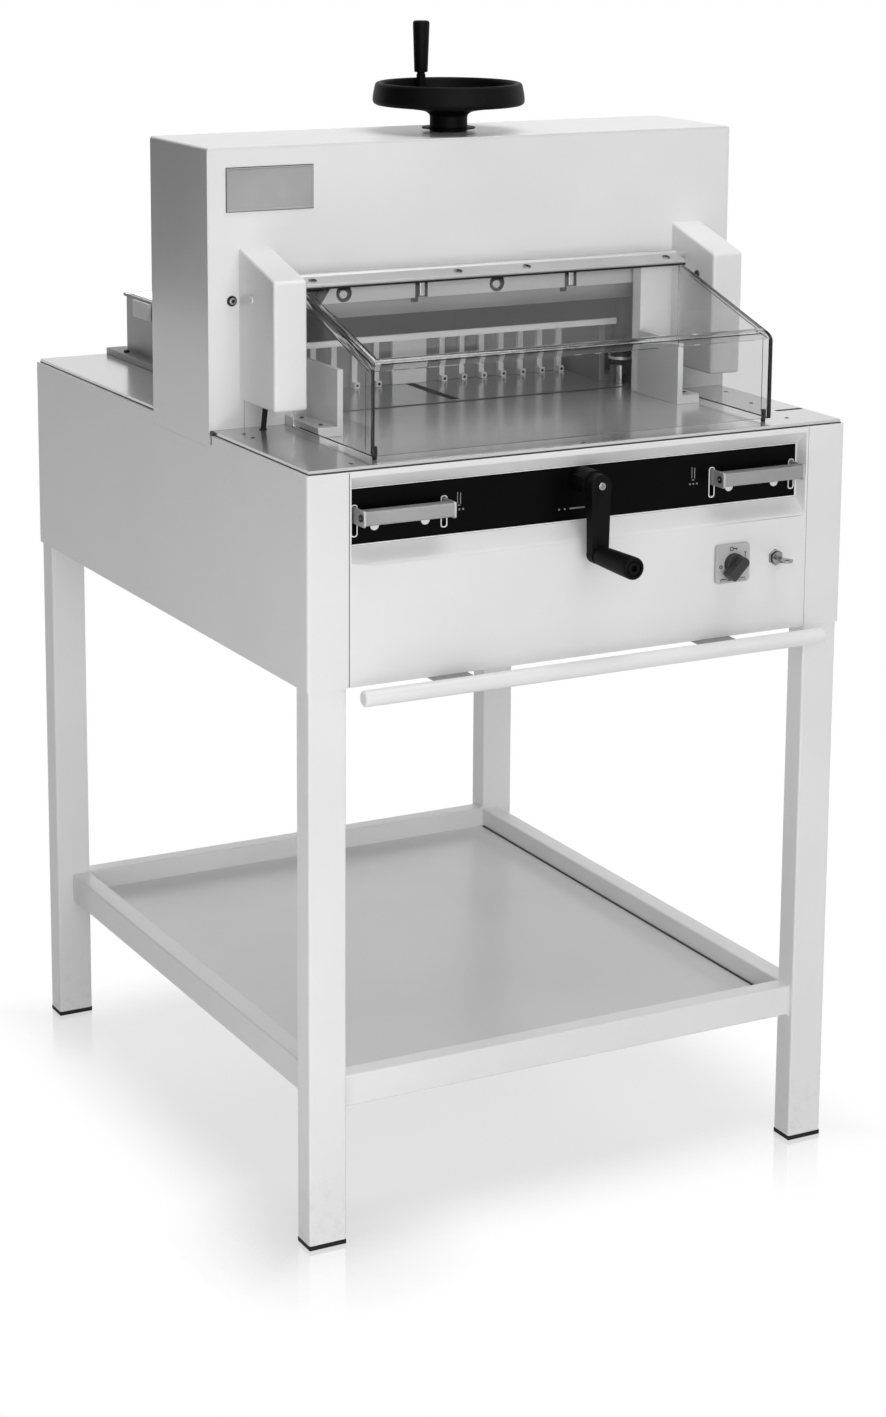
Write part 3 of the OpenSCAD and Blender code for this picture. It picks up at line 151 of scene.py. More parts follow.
# cast and blown acrylic sheet: clear, with a breath of grey in its depth; lamps pass through it
def makeAcrylic(name, tint, rough, bending):
    finish, tree, coords = newMaterial(name)
    smear = mapRange(tree, noise(tree, coords, 45, 2.0), 0.0, 1.0, *rough)
    settings = {"Base Color": linear(tint), "Transmission Weight": 1.0, "IOR": bending}
    shader = addNode(tree, "BsdfPrincipled", settings, {"Roughness": smear})
    clear = addNode(tree, "BsdfTransparent", {"Color": (0.84, 0.84, 0.84, 1)})
    lampRay = addNode(tree, "LightPath").outputs["Is Shadow Ray"]
    through = addNode(tree, "MixShader", None,
                      {0: lampRay, 1: shader.outputs["BSDF"], 2: clear.outputs["BSDF"]})
    addNode(tree, "OutputMaterial", None, {"Surface": through.outputs["Shader"]})
    return finish


whitePaint = makePowderCoat("powderCoatLightGrey", "de", "e7")
legPaint = makePowderCoat("powderCoatLegs", "de", "e7", wear={"scuffMm": 110})
# the shelf's coat is drawn a little darker than the housing's: painted shade under the housing, with scratches of
# real wear
shelfPaint = makePowderCoat("powderCoatShelf", "d2", "dc", (0.285, 0.34), {"scratchMm": 60})

# metals: tones, roughness, stretch of the grain along X, Y and Z, line width in mm, bump and metallic share
tableSteel = makeMetal("polishedTableSteel", "be", "cd", (0.16, 0.215), (1, 14, 1), 2.0, 0.012, 0.7, 160,
                       {"scratchMm": 40})
knifeSteel = makeMetal("groundKnifeSteel", "8e", "9e", (0.30, 0.40), (0.06, 1, 1), 1.0, 0.06, 0.7)
brightSteel = makeMetal("millingMarkedSteel", "c0", "ce", (0.40, 0.50), (0.05, 1, 1), 1.2, 0.06, 0.5)
turnedSteel = makeMetal("turnedSteel", "be", "d0", (0.18, 0.26), (1, 0.1, 1), 1.0)
# chrome drawn darker than it is: a painted reflection of dark surroundings
darkReflectionChrome = makeMetal("darkReflectionChrome", "86", "9a", (0.10, 0.16), (1, 1, 0.1), 1.5, 0.02)
castIron = makeMetal("machinedCastIron", "4a", "5c", (0.45, 0.6), (1, 1, 1), 1.6, 0.2)
# near-black steel: painted shade on the clamp's face, in the carrier's recesses and on the knife notches, and a
# painted dark reflection on the posts
shadeBlackSteel = makeMetal("nearBlackShadeSteel", "13", "1f", (0.5, 0.6), (0.1, 1, 1), 1.4, 0.10, 0.5)
aluminium = makeMetal("anodisedAluminium", "cb", "d8", (0.30, 0.40), (0.05, 0.05, 1), 1.0, 0.05, 0.5)
stripAluminium = makeMetal("anodisedStripAluminium", "b0", "be", (0.34, 0.44), (0.05, 1, 1), 1.0, 0.06, 0.5)
# the rear guides' aluminium is drawn darker: painted shade on their shaded faces
guideShadeAluminium = makeMetal("anodisedGuideAluminiumShade", "83", "94", (0.40, 0.50), (0.05, 0.05, 1), 1.0, 0.05, 0.6)
barAluminium = makeMetal("brushedBarAluminium", "8e", "a0", (0.36, 0.46), (0.04, 1, 1), 1.0, 0.08, 0.4)
# grey steel for the front bar's tabs: painted shade from the housing above them
tabShadeSteel = makeMetal("greySteelTabShade", "8c", "9c", (0.36, 0.46), (1, 0.06, 1), 1.0, 0.06, 0.4)
gaugeAluminium = makeMetal("anodisedGaugeAluminium", "dc", "e8", (0.34, 0.44), (1, 1, 0.06), 1.0, 0.05, 0.3)
gaugeField = makeMetal("darkerGaugeFieldAluminium", "7e", "8c", (0.5, 0.62), (1, 1, 1), 1.6, 0.15, 0.4)
bronze = makeMetal("turnedBronze", "9a7440", "b48c52", (0.29, 0.38), (1, 1, 0.2), 1.0)
# plated metal drawn darker than it is: a painted reflection of dark surroundings
darkReflectionLockMetal = makeMetal("platedLockMetalDarkReflection", "8c", "a2", (0.12, 0.2), (1, 1, 1), 1.0, 0.03)
blackOxide = makeMetal("blackOxideSteel", "24", "33", (0.3, 0.42), (1, 1, 1), 1.0, 0.05, 0.7)

blackNylon = makePlastic("glassFilledNylon", "08", "0f", (0.44, 0.54), skin=0.07)
blackPanel = makePlastic("blackPanelLaminate", "04", "08", (0.34, 0.42), 0.9, 0.08, 0.04)
greyAbs = makePlastic("greyAbs", "ac", "b8", (0.36, 0.46))
darkAbs = makePlastic("darkGreyAbs", "2c", "38", (0.36, 0.46), skin=0.3)
whitePom = makePlastic("whiteAcetal", "de", "e8", (0.35, 0.45))
# white ink, also used as a painted highlight on the slots' edges
whiteInkAndHighlight = makePlastic("printedWhiteInkAndHighlight", "eb", "f4", (0.5, 0.6), 0.8, 0.03)
printGrey = makePlastic("printedGreyInk", "7c", "8a", (0.5, 0.6), 0.8, 0.03)
rubber = makePlastic("blackRubber", "10", "19", (0.6, 0.75), 1.6, 0.15, 0.25)
stickPlastic = makePlastic("cuttingStickPvc", "2d", "39", (0.45, 0.55))
machinePaint = makePlastic("hammeredMachinePaint", "3b4045", "474c51", (0.35, 0.5), 3.0, 0.25)
boxPlastic = makePlastic("enclosureAbs", "a5", "b0", (0.45, 0.55))

# real sheet bends light by 1.49; less on its faces, for the low glare of a wiped hood
# the sheet's grey tint is deepened beyond its own: painted shade on what lies inside the hood
clearAcrylic = makeAcrylic("clearAcrylic", "e8", (0.0, 0.02), 1.2)
# bends and edges tinted darker than the flat sheet: a painted dark streak along them
acrylicEdge = makeAcrylic("polishedAcrylicEdge", "d6", (0.0, 0.02), 1.49)
sawnEdge = makeAcrylic("sawnAcrylicEdge", "3c", (0.29, 0.38), 1.49)
whiteSheet = ("frame", whitePaint, "white_paint")
print("materials made:", len(bpy.data.materials))


def clearSelection():
    if bpy.context.object and bpy.context.object.mode != "OBJECT":
        bpy.ops.object.mode_set(mode="OBJECT")
    bpy.ops.object.select_all(action="DESELECT")


def takeUp(piece):
    clearSelection()
    piece.select_set(True)
    bpy.context.view_layer.objects.active = piece


def settle(piece):  # the place goes into the mesh
    takeUp(piece)
    bpy.ops.object.transform_apply(location=True, rotation=True, scale=True)
    return piece


def addObject(name, data):
    piece = bpy.data.objects.new(name, data)
    scene.collection.objects.link(piece)
    return piece


def nameNew(name):
    piece = bpy.context.object
    piece.name = piece.data.name = name
    return piece


def addBlock(name, low, high):
    clearSelection()
    bpy.ops.mesh.primitive_cube_add(size=1, location=(at(*low) + at(*high)) / 2)
    piece = nameNew(name)
    piece.scale = [(b - a) * mm for a, b in zip(low, high)]
    return settle(piece)


turns = {"x": (0, math.pi / 2, 0), "y": (-math.pi / 2, 0, 0), "z": (0, 0, 0)}


# a disc or bar along one axis, its low end at the given place
def addRound(name, base, radius, length, axis="z", sides=48):
    clearSelection()
    middle = Vector(base) + Vector([length / 2 if a == axis else 0 for a in "xyz"])
    bpy.ops.mesh.primitive_cylinder_add(vertices=sides, radius=radius * mm, depth=length * mm,
                                        location=at(*middle), rotation=turns[axis])
    return settle(nameNew(name))


def startEdit(piece, kind):
    takeUp(piece)
    bpy.ops.object.mode_set(mode="EDIT")
    bpy.ops.mesh.select_mode(type=kind)
    bpy.ops.mesh.select_all(action="DESELECT")
    return bmesh.from_edit_mesh(piece.data)


def pickFaces(piece, test):
    mesh = startEdit(piece, "FACE")
    for face in mesh.faces:
        face.select_set(bool(test(face.calc_center_median(), face.normal)))
    bmesh.update_edit_mesh(piece.data)


def pickEdges(piece, test):
    mesh = startEdit(piece, "EDGE")
    for edge in mesh.edges:
        a, b = edge.verts[0].co, edge.verts[1].co
        edge.select_set(bool(test((a + b) / 2, (b - a).normalized())))
    bmesh.update_edit_mesh(piece.data)


def along(axis):
    return lambda middle, way: abs(way["xyz".index(axis)]) > 0.9


def editAll(piece):
    startEdit(piece, "VERT")
    bpy.ops.mesh.select_all(action="SELECT")


def leaveEdit():
    bpy.ops.object.mode_set(mode="OBJECT")


def roundEdges(piece, width, segments, test):
    pickEdges(piece, test)
    bpy.ops.mesh.bevel(offset=width * mm, segments=segments, affect="EDGES", clamp_overlap=True)
    leaveEdit()


def applyAll(piece):
    takeUp(piece)
    for modifier in list(piece.modifiers):
        bpy.ops.object.modifier_apply(modifier=modifier.name)


def softenEdges(piece, width, segments=2, limit=35):
    bevel = piece.modifiers.new("softEdges", "BEVEL")
    bevel.width = width * mm
    bevel.segments = segments
    bevel.limit_method = "ANGLE"
    bevel.angle_limit = math.radians(limit)
    bevel.miter_outer = "MITER_ARC"
    applyAll(piece)
    return piece


def softBlocks(name, boxes, width, segments=2):
    return [softenEdges(addBlock(name, low, high), width, segments) for low, high in boxes]


# blocks between two depths, their areas given as X and Z of two corners
def flatBlocks(name, areas, depths, width, segments=2):
    front, back = depths
    boxes = [((x, front, z), (xEnd, back, zEnd)) for (x, z), (xEnd, zEnd) in areas]
    return softBlocks(name, boxes, width, segments)


def hollow(piece, width):  # leaves an upright frame or ring of that width
    pickFaces(piece, along("y"))
    bpy.ops.mesh.inset(thickness=width * mm)
    bpy.ops.mesh.bridge_edge_loops()
    leaveEdit()
    return piece


def combine(piece, other, how):
    boolean = piece.modifiers.new("combine", "BOOLEAN")
    boolean.operation = how
    boolean.solver = "EXACT"
    boolean.object = other
    applyAll(piece)
    bpy.data.objects.remove(other, do_unlink=True)
    return piece


def joinUp(name, pieces):
    takeUp(pieces[0])
    for other in pieces[1:]:
        other.select_set(True)
    bpy.ops.object.join()
    pieces[0].name = pieces[0].data.name = name
    return pieces[0]


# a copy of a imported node, merged to clean faces, ready for softened edges
def copyNode(name, node):
    piece = addObject(name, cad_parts[node].data.copy())
    piece.data.name = name
    editAll(piece)
    bpy.ops.mesh.remove_doubles(threshold=0.005 * mm)
    bpy.ops.mesh.dissolve_limited(angle_limit=math.radians(0.5))
    leaveEdit()
    return piece


# an outline of (radius, height) points turned round an axis
def turnOutline(name, outline, centre, axis="z", steps=64):
    line = bpy.data.meshes.new(name)
    links = range(len(outline) - 1)
    line.from_pydata([(r * mm, 0, h * mm) for r, h in outline], [(i, i + 1) for i in links], [])
    piece = addObject(name, line)
    editAll(piece)
    bpy.ops.mesh.spin(steps=steps, angle=2 * math.pi, center=(0, 0, 0), axis=(0, 0, 1))
    bpy.ops.mesh.select_all(action="SELECT")
    bpy.ops.mesh.remove_doubles(threshold=0.02 * mm)
    bpy.ops.mesh.normals_make_consistent(inside=False)
    leaveEdit()
    piece.rotation_euler = turns[axis]
    piece.location = at(*centre)
    return settle(piece)


def rounded(centre, radius, start, end, steps=5):
    angles = [math.radians(start + (end - start) * i / steps) for i in range(steps + 1)]
    return [(centre[0] + radius * math.cos(a), centre[1] + radius * math.sin(a)) for a in angles]


def placeCopy(template, name, place, direction, roll):
    piece = addObject(name, template.data.copy())
    piece.data.name = name
    turn = Vector(direction).to_track_quat("Z", "Y").to_matrix().to_4x4()
    piece.matrix_world = Matrix.Translation(at(*place)) @ turn @ Matrix.Rotation(roll, 4, "Z")
    return settle(piece)


def paint(piece, finish):
    piece.data.materials.clear()
    piece.data.materials.append(finish)
    return piece


# the second finish goes where the test holds, by each face's middle and normal
def paintTwo(piece, first, second, test):
    paint(piece, first).data.materials.append(second)
    for polygon in piece.data.polygons:
        polygon.material_index = 1 if test(polygon.center, polygon.normal) else 0
    return piece


def across(middle, centre):  # distance from an axis along Y
    return math.hypot(middle.x - centre.x, middle.z - centre.z)


def done(piece, body, finish, slot, nodes=(), angle=30):
    if finish:
        paint(piece, finish)
    takeUp(piece)
    bpy.ops.object.shade_smooth_by_angle(angle=math.radians(angle))
    # large faces stay flat beside their soft edges
    flat = piece.modifiers.new("flatFaces", "WEIGHTED_NORMAL")
    flat.keep_sharp = True
    bpy.ops.object.modifier_apply(modifier=flat.name)
    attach(piece, body)
    if nodes:
        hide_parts(*nodes)


def dressNode(node, name, body, finish, slot, width):
    done(softenEdges(copyNode(name, node), width), body, finish, slot, [node])


def dressTwo(node, name, body, first, second, slot, width, test):
    piece = paintTwo(softenEdges(copyNode(name, node), width), first, second, test)
    done(piece, body, None, slot, [node])


# stand: rectangular tubes with rounded corners
stand = {"legX": (327.5, 377.5), "legY": ((2.5, 37.5), (852.5, 887.5)), "legTop": 708, "foot": 6,
         "corner": 3.0, "railX": (327.5, 354.5), "railY": ((10.5, 37.5), (852.5, 879.5)),
         "railZ": (175, 215), "railCorner": 2.5}
legs = []
for side in (-1, 1):
    for low, high in stand["legY"]:
        xs = sorted(side * x for x in stand["legX"])
        leg = addBlock("leg", (xs[0], low, stand["foot"]), (xs[1], high, stand["legTop"]))
        roundEdges(leg, stand["corner"], 4, along("z"))
        legs.append(softenEdges(leg, 0.5, 1, 60))
done(joinUp("legTubes", legs), "frame", legPaint, "white_paint", ["stand_legs"])

inner, outer = stand["railX"]
railLow, railHigh = stand["railZ"]
sideRailY = (stand["legY"][0][1], stand["legY"][1][0])
rails = [addBlock("rail", (-inner, low, railLow), (inner, high, railHigh)) for low, high in stand["railY"]]
for low, high in ((-outer, -inner), (inner, outer)):
    rails.append(addBlock("rail", (low, sideRailY[0], railLow), (high, sideRailY[1], railHigh)))
for rail in rails:
    longWay = "x" if rail.dimensions.x > rail.dimensions.y else "y"
    roundEdges(rail, stand["railCorner"], 4, along(longWay))
done(joinUp("shelfRailTubes", rails), *whiteSheet, ["shelf_rails"])
dressNode("shelf_tray", "shelfSheet", "frame", shelfPaint, "shelf_paint", 0.6)
dressNode("foot_pads", "footPads", "frame", rubber, "rubber", 0.8)

# fillet welds where the rails meet the legs
weldRadius = 2.0
beads = []
for side in (-1, 1):
    for low, high in stand["railY"]:
        for z in stand["railZ"]:
            bead = addRound("weldBead", (side * inner, low, z), weldRadius, high - low, "y", 10)
            beads.append(softenEdges(bead, 0.8, 2, 40))
done(joinUp("weldBeads", beads), *whiteSheet)
print("stand built")

# front bar: round tube with domed ends on two flat tabs
frontBar = {"radius": 10, "ends": (-327, 327), "y": -40, "z": 705, "dome": 3.0,
            "tabX": ((-212, -165), (165, 212)), "tabZ": (702, 708), "tabBack": 60, "weld": 2.2, "weldLong": 8}
barStart, barEnd = frontBar["ends"]
barPlace = (barStart, frontBar["y"], frontBar["z"])
bar = addRound("frontBarTube", barPlace, frontBar["radius"], barEnd - barStart, "x")
barPieces = [paint(softenEdges(bar, frontBar["dome"], 4, 60), whitePaint)]
tabLow, tabHigh = frontBar["tabZ"]
for ends in frontBar["tabX"]:
    tab = addBlock("tab", (ends[0], frontBar["y"], tabLow), (ends[1], frontBar["tabBack"], tabHigh))
    # the tabs' grey is painted shade under the housing
    barPieces.append(paint(softenEdges(tab, 0.8), tabShadeSteel))
    for x in ends:
        place = (x, frontBar["y"] + 2, tabHigh)
        bead = addRound("tabWeld", place, frontBar["weld"], frontBar["weldLong"], "y", 10)
        barPieces.append(paint(softenEdges(bead, 0.6, 2, 40), whitePaint))
done(joinUp("frontBarTube", barPieces), "frame", None, "white_paint", ["front_bar"])

# housing and tower sheets
for node, name, width in [("side_panel_right", "sidePanelRight", 0.7), ("base_plate", "basePlate", 0.6),
                          ("tower_front", "towerFront", 0.5), ("tower_shell", "towerShell", 0.7),
                          ("tower_rear", "towerRear", 0.5)]:
    dressNode(node, name, *whiteSheet, width)

# rear sheet: two columns of pressed vents and the opening of the inlet
rearSheet = {"low": (-378, 884, 708), "high": (378, 886, 969), "cutY": (880, 890), "ventX": (-60, 60),
             "ventLong": 90, "ventHigh": 5, "ventLow": 770, "ventEnd": 2.3, "pitch": 14, "rows": 8}
cutFront, cutBack = rearSheet["cutY"]
cuts = [addBlock("inletCut", (-265.3, cutFront, 758.7), (-234.7, cutBack, 781.3))]
for x in rearSheet["ventX"]:
    for row in range(rearSheet["rows"]):
        z, half = rearSheet["ventLow"] + rearSheet["pitch"] * row, rearSheet["ventLong"] / 2
        vent = addBlock("vent", (x - half, cutFront, z), (x + half, cutBack, z + rearSheet["ventHigh"]))
        roundEdges(vent, rearSheet["ventEnd"], 4, along("y"))
        cuts.append(vent)
rearPanel = addBlock("rearPanel", rearSheet["low"], rearSheet["high"])
combine(rearPanel, joinUp("vents", cuts), "DIFFERENCE")
done(softenEdges(rearPanel, 0.3, 2, 40), *whiteSheet, ["rear_panel"])

# left side sheet: a notch at the tower's foot and four slits, as Y and Z of the middle, width and height
slits = [(278, 963.5, 7, 13), (234.2, 961, 0.9, 6.5), (234.6, 918, 0.9, 6.5), (18.6, 958.5, 0.9, 6.5),
         (18.9, 917, 0.9, 6.5)]
sideLeft = softenEdges(copyNode("sidePanelLeft", "side_panel_left"), 0.7)
for y, z, wide, tall in slits:
    slit = addBlock("slit", (-381, y - wide / 2, z - tall / 2), (-377.5, y + wide / 2, z + tall / 2))
    combine(sideLeft, slit, "DIFFERENCE")
done(sideLeft, *whiteSheet, ["side_panel_left"])
print("housing sheets dressed")

# hinge boxes: deep-drawn covers with a sloping top
hingeBox = {"x": (293, 338), "y": (180, 282), "z": (1010, 1170), "rise": 30, "corner": 4.0}
boxTop = hingeBox["z"][1] + hingeBox["rise"]
boxFront, boxBack = at(0, hingeBox["y"][0] + 1, 0).y, at(0, hingeBox["y"][1] - 1, 0).y
for side, name in ((-1, "left"), (1, "right")):
    xs = sorted(side * x for x in hingeBox["x"])
    cover = addBlock("hingeCover" + name.capitalize(), (xs[0], hingeBox["y"][0], hingeBox["z"][0]),
                     (xs[1], hingeBox["y"][1], boxTop))
    pickEdges(cover, lambda middle, way: abs(way.x) > 0.9 and middle.y < boxFront and middle.z > 1.1)
    bpy.ops.transform.translate(value=(0, 0, -hingeBox["rise"] * mm))
    leaveEdit()
    roundEdges(cover, hingeBox["corner"], 4, lambda middle, way: middle.y < boxBack)
    done(cover, *whiteSheet, ["hinge_box_" + name])
print("hinge covers built")

for node, name, body, finish, slot, width in [
        ("work_table", "tablePlate", "frame", tableSteel, "table_steel", 0.8),
        ("cutting_stick", "cuttingStick", "frame", stickPlastic, "stick_plastic", 0.5),
        ("control_panel", "controlPanel", "frame", blackPanel, "black_panel", 0.3),
        ("front_guides", "frontGuides", "frame", aluminium, "aluminium", 0.6),
        ("rear_guides", "rearGuides", "frame", guideShadeAluminium, "aluminium", 0.6),
        ("lid_clips", "lidClips", "frame", whitePom, "white_plastic", 1.0),
        ("knife_blade", "knifeBlade", "knife", knifeSteel, "knife_steel", 0.15),
        ("mains_inlet", "mainsInlet", "frame", darkAbs, "dark_plastic", 0.5),
        ("guard_bumpers", "guardBumpers", "guard", rubber, "rubber", 0.6)]:
    dressNode(node, name, body, finish, slot, width)
dressTwo("rear_lid", "rearLid", "frame", clearAcrylic, sawnEdge, "clear_sheet", 0.5,
         lambda middle, way: abs(way.z) <= 0.5)  # sawn edges hold the light back
pinPlaces = ((-257, 767.6), (-243, 767.6), (-250, 773.4))
pins = flatBlocks("pin", [((x - 1.1, z - 2.4), (x + 1.1, z + 2.4)) for x, z in pinPlaces], (866, 883), 0.5)
done(joinUp("inletPins", pins), "frame", brightSteel, "bright_steel")
print("visible nodes dressed")

# front sheet: the recess folds in softly along its lower edge
recess = {"z": 0.856, "fold": 3.5}
frontSheet = copyNode("frontSheet", "front_panel")
roundEdges(frontSheet, recess["fold"], 4, lambda middle, way: abs(middle.y - frontPlane) < 0.0003
           and abs(middle.z - recess["z"]) < 0.0005 and abs(way.x) > 0.9)
softenEdges(frontSheet, 0.8, 2, 40)
done(frontSheet, *whiteSheet, ["front_panel"])

# painted shade in the gaps: under the table's edge, at the left cover, along the shelf and beside the front sheet
gapShades = softBlocks("joint", [
    ((-376.3, 3.6, 968.9), (-375, 886.3, 970.4)), ((375, 3.6, 968.9), (376.3, 886.3, 970.4)),
    ((-376.3, 3.6, 968.9), (376.3, 5, 970.4)), ((-379.4, 274, 968.9), (-375, 281.9, 973.6)),
    ((-332.2, 281.7, 974), (-331.9, 282.05, 1012)), ((-378, 273, 956), (-376.5, 281.8, 968.9)),
    ((325.1, 42, 187), (327.45, 848, 188.5)),
    ((-325.5, -0.08, 709), (-324.5, 0.6, 968)), ((324.8, -0.08, 709), (325.2, 0.6, 968))], 0.03, 1)
done(joinUp("sheetGapShades", gapShades), "frame", darkAbs, "dark_plastic")

# fasteners, each modelled once at the frame's own zero and copied from there
zeroY = 389.5


def hexScrew(name, radius, height, edge, socket, depth, sides=32):
    head = softenEdges(addRound(name, (0, zeroY, 0), radius, height, "z", sides), edge, 2, 60)
    return combine(head, addRound("hexKey", (0, zeroY, depth), socket, 4, "z", 6), "DIFFERENCE")


def inSocket(radius):
    return lambda middle, way: math.hypot(middle.x, middle.y) < radius * mm and middle.z > 0


def fasten(name, template, places, direction, body, finish, slot, roll=0.0):
    copies = [placeCopy(template, name, place, direction, roll + 0.7 * i) for i, place in enumerate(places)]
    done(joinUp(name, copies), body, finish, slot)


capScrew = hexScrew("capScrew", 4.0, 3.2, 0.5, 2.1, 1.2)
studScrew = hexScrew("studScrew", 2.9, 1.4, 0.4, 1.6, 0.4, 28)
stripScrew = hexScrew("stripScrew", 5.6, 0.9, 0.4, 2.6, 0.3, 36)
# the hex socket is painted dark: painted shade in the recess
paintTwo(stripScrew, darkReflectionLockMetal, blackOxide, inSocket(2.7))
barScrew = paintTwo(hexScrew("barScrew", 4.6, 1.8, 0.5, 1.9, 0.9), blackOxide, darkReflectionLockMetal, inSocket(2.0))
panScrew = softenEdges(addRound("panScrew", (0, zeroY, 0), 5.0, 2.6, "z", 32), 1.5, 4, 60)
for halfX, halfY in ((2.8, 0.5), (0.5, 2.8)):
    cross = addBlock("crossCut", (-halfX, zeroY - halfY, 1.2), (halfX, zeroY + halfY, 4))
    combine(panScrew, cross, "DIFFERENCE")

# handwheel: one moulding turned round its spindle, dished inside the rim
wheel = {"centre": (0, 368, 1325.5), "grip": (0, 446, 1369.8)}
wheelOutline = [(0, 0), (24, 0), (24.5, 0.5), (24.5, 3.3), (34.6, 3.5), (35, 4.2), (34.6, 5), (24.5, 5.2),
                (24.5, 18.6), (25.4, 21.4), (28.6, 24.2), (34, 26.2), (46, 28.4), (68, 31.4), (86, 33.2)]
wheelOutline += rounded((93, 40), 6, 270, 360) + [(98.7, 44), (98.1, 49), (97.1, 54)]
wheelOutline += rounded((91.4, 58.1), 4.8, 5, 165, 8)
wheelOutline += [(86, 55), (85.2, 50), (84.2, 46.4), (82, 44.5), (78, 44), (70, 43.4), (50, 40), (33, 36.8),
                 (25, 36), (22.6, 36.6), (22, 38.8), (20, 39.6), (10, 40), (0, 40)]
handWheel = turnOutline("handWheel", wheelOutline, wheel["centre"], "z", 96)
done(handWheel, "handwheel", blackNylon, "black_plastic", ["handwheel"], 40)
gripOutline = [(0, 0), (6, 0), (6, 23.4), (5.3, 24), (5.3, 26.2), (8.4, 26.8), (9, 27.8), (9.35, 38), (9.8, 52),
               (10.4, 70), (10.9, 84), (11, 88)] + rounded((8, 91), 3, 0, 90) + [(0, 94)]
wheelGrip = turnOutline("wheelGrip", gripOutline, wheel["grip"], "z", 48)
done(wheelGrip, "wheel_grip", blackNylon, "black_plastic", ["wheel_grip"], 40)

# front crank: flat arm that turns into the grip through a soft elbow
crank = {"screw": (0, -32, 928), "grip": (0, -32.3, 842), "elbow": 8.5, "edge": 2.0, "back": -18}
crankArm = copyNode("crankArm", "crank_arm")
armBack = at(0, crank["back"], 0).y
roundEdges(crankArm, crank["elbow"], 6,
           lambda middle, way: abs(middle.y - armBack) < 0.0004 and middle.z < 0.846)
softenEdges(crankArm, crank["edge"], 4, 50)
done(crankArm, "crank", blackNylon, "black_plastic", ["crank_arm"], 40)
handle = [(0, 0), (10.8, 0), (11.4, -0.6), (11.4, -2.4), (12.1, -4.2), (12.7, -18), (13.4, -44), (13.95, -68),
          (14, -74)] + rounded((11.6, -76.4), 2.2, 0, -90)
handle += [(10.2, -78.7), (9.8, -78.2), (9.8, -75.8), (8.4, -75.6), (8.0, -77.4), (7.4, -77.8), (0, -77.8)]
crankGrip = turnOutline("crankGrip", handle, crank["grip"], "y", 48)
combine(crankGrip, addBlock("squareKey", (-3.4, -115, 838.6), (3.4, -103, 845.4)), "DIFFERENCE")
done(crankGrip, "crank_grip", blackNylon, "black_plastic", ["crank_grip"], 40)
fasten("crankScrew", panScrew, [crank["screw"]], (0, -1, 0), "crank", darkReflectionLockMetal, "lock_metal")

# release bars: folded channels on two bracket plates that pass through the panel
releaseBar = {"x": (192, 309), "y": (-13, 3), "z": (905, 922), "wall": 1.8, "depth": 13, "fold": 2.0,
              "plate": 3, "plateZ": (903, 923), "plateCorner": 3.5, "tieY": (31, 34), "screwY": -5.5, "screwZ": 913.5}
barFront, barBack = releaseBar["y"]
barLow, barHigh = releaseBar["z"]
plateLow, plateHigh = releaseBar["plateZ"]
tieFront, tieBack = releaseBar["tieY"]
barEdge = at(0, barFront + 0.1, 0).y


def isBarFront(middle, way):
    return abs(way.x) > 0.9 and middle.y < barEdge


for side, name in ((-1, "left"), (1, "right")):
    low, high = sorted(side * x for x in releaseBar["x"])
    channel = addBlock("channel", (low, barFront, barLow), (high, barBack, barHigh))
    pickFaces(channel, lambda middle, normal: normal.y > 0.9)
    bpy.ops.mesh.inset(thickness=releaseBar["wall"] * mm)
    bpy.ops.mesh.extrude_region_move(TRANSFORM_OT_translate={"value": (0, -releaseBar["depth"] * mm, 0)})
    leaveEdit()
    roundEdges(channel, releaseBar["fold"], 4, isBarFront)
    parts = [paint(softenEdges(channel, 0.4), barAluminium)]
    # the bracket plates are drawn in a lighter aluminium than the bar: painted light on their shaded outer faces and
    # edges
    for x in (low - releaseBar["plate"], high):
        plate = addBlock("bracket", (x, barFront, plateLow), (x + releaseBar["plate"], tieBack, plateHigh))
        roundEdges(plate, releaseBar["plateCorner"], 5, isBarFront)
        parts.append(paint(softenEdges(plate, 0.5, 2, 50), stripAluminium))
    tie = addBlock("tie", (low, tieFront, barLow), (high, tieBack, barHigh))
    parts.append(paint(softenEdges(tie, 0.3), barAluminium))
    pieceName, bodyName = "releaseBar" + name.capitalize(), "release_" + name
    done(joinUp(pieceName, parts), bodyName, None, "aluminium", ["release_bar_" + name])
    for x, way, end in ((low - releaseBar["plate"], -1, "A"), (high + releaseBar["plate"], 1, "B")):
        place = (x, releaseBar["screwY"], releaseBar["screwZ"])
        screwName = "releaseScrew" + name.capitalize() + end
        fasten(screwName, barScrew, [place], (way, 0, 0), bodyName, None, "dark_plastic")

# panel: pale rings round the slots for their bare edges with a painted highlight on them, white caps, and printed
# small marks and a pale line along the panel's edge
panel = {"face": 17.0, "slots": (-310.5, -190.5, 190.5, 310.5), "slotZ": (888, 924), "line": 1.2,
         "lineHalf": 4.4, "lineEnd": 1.6, "caps": (-284, -216, 216, 284), "capZ": 898.5, "capRadius": 6.0,
         "signs": (-169, 164)}
edgeHighlights = []
for x in panel["slots"]:
    outline = addBlock("outline", (x - panel["lineHalf"], 16.5, panel["slotZ"][0] - panel["lineEnd"]),
                       (x + panel["lineHalf"], panel["face"], panel["slotZ"][1] + panel["lineEnd"]))
    roundEdges(outline, 3.5, 4, along("y"))
    edgeHighlights.append(hollow(outline, panel["line"]))
done(joinUp("slotEdgeHighlights", edgeHighlights), "frame", whiteInkAndHighlight, "white_plastic")
caps = []
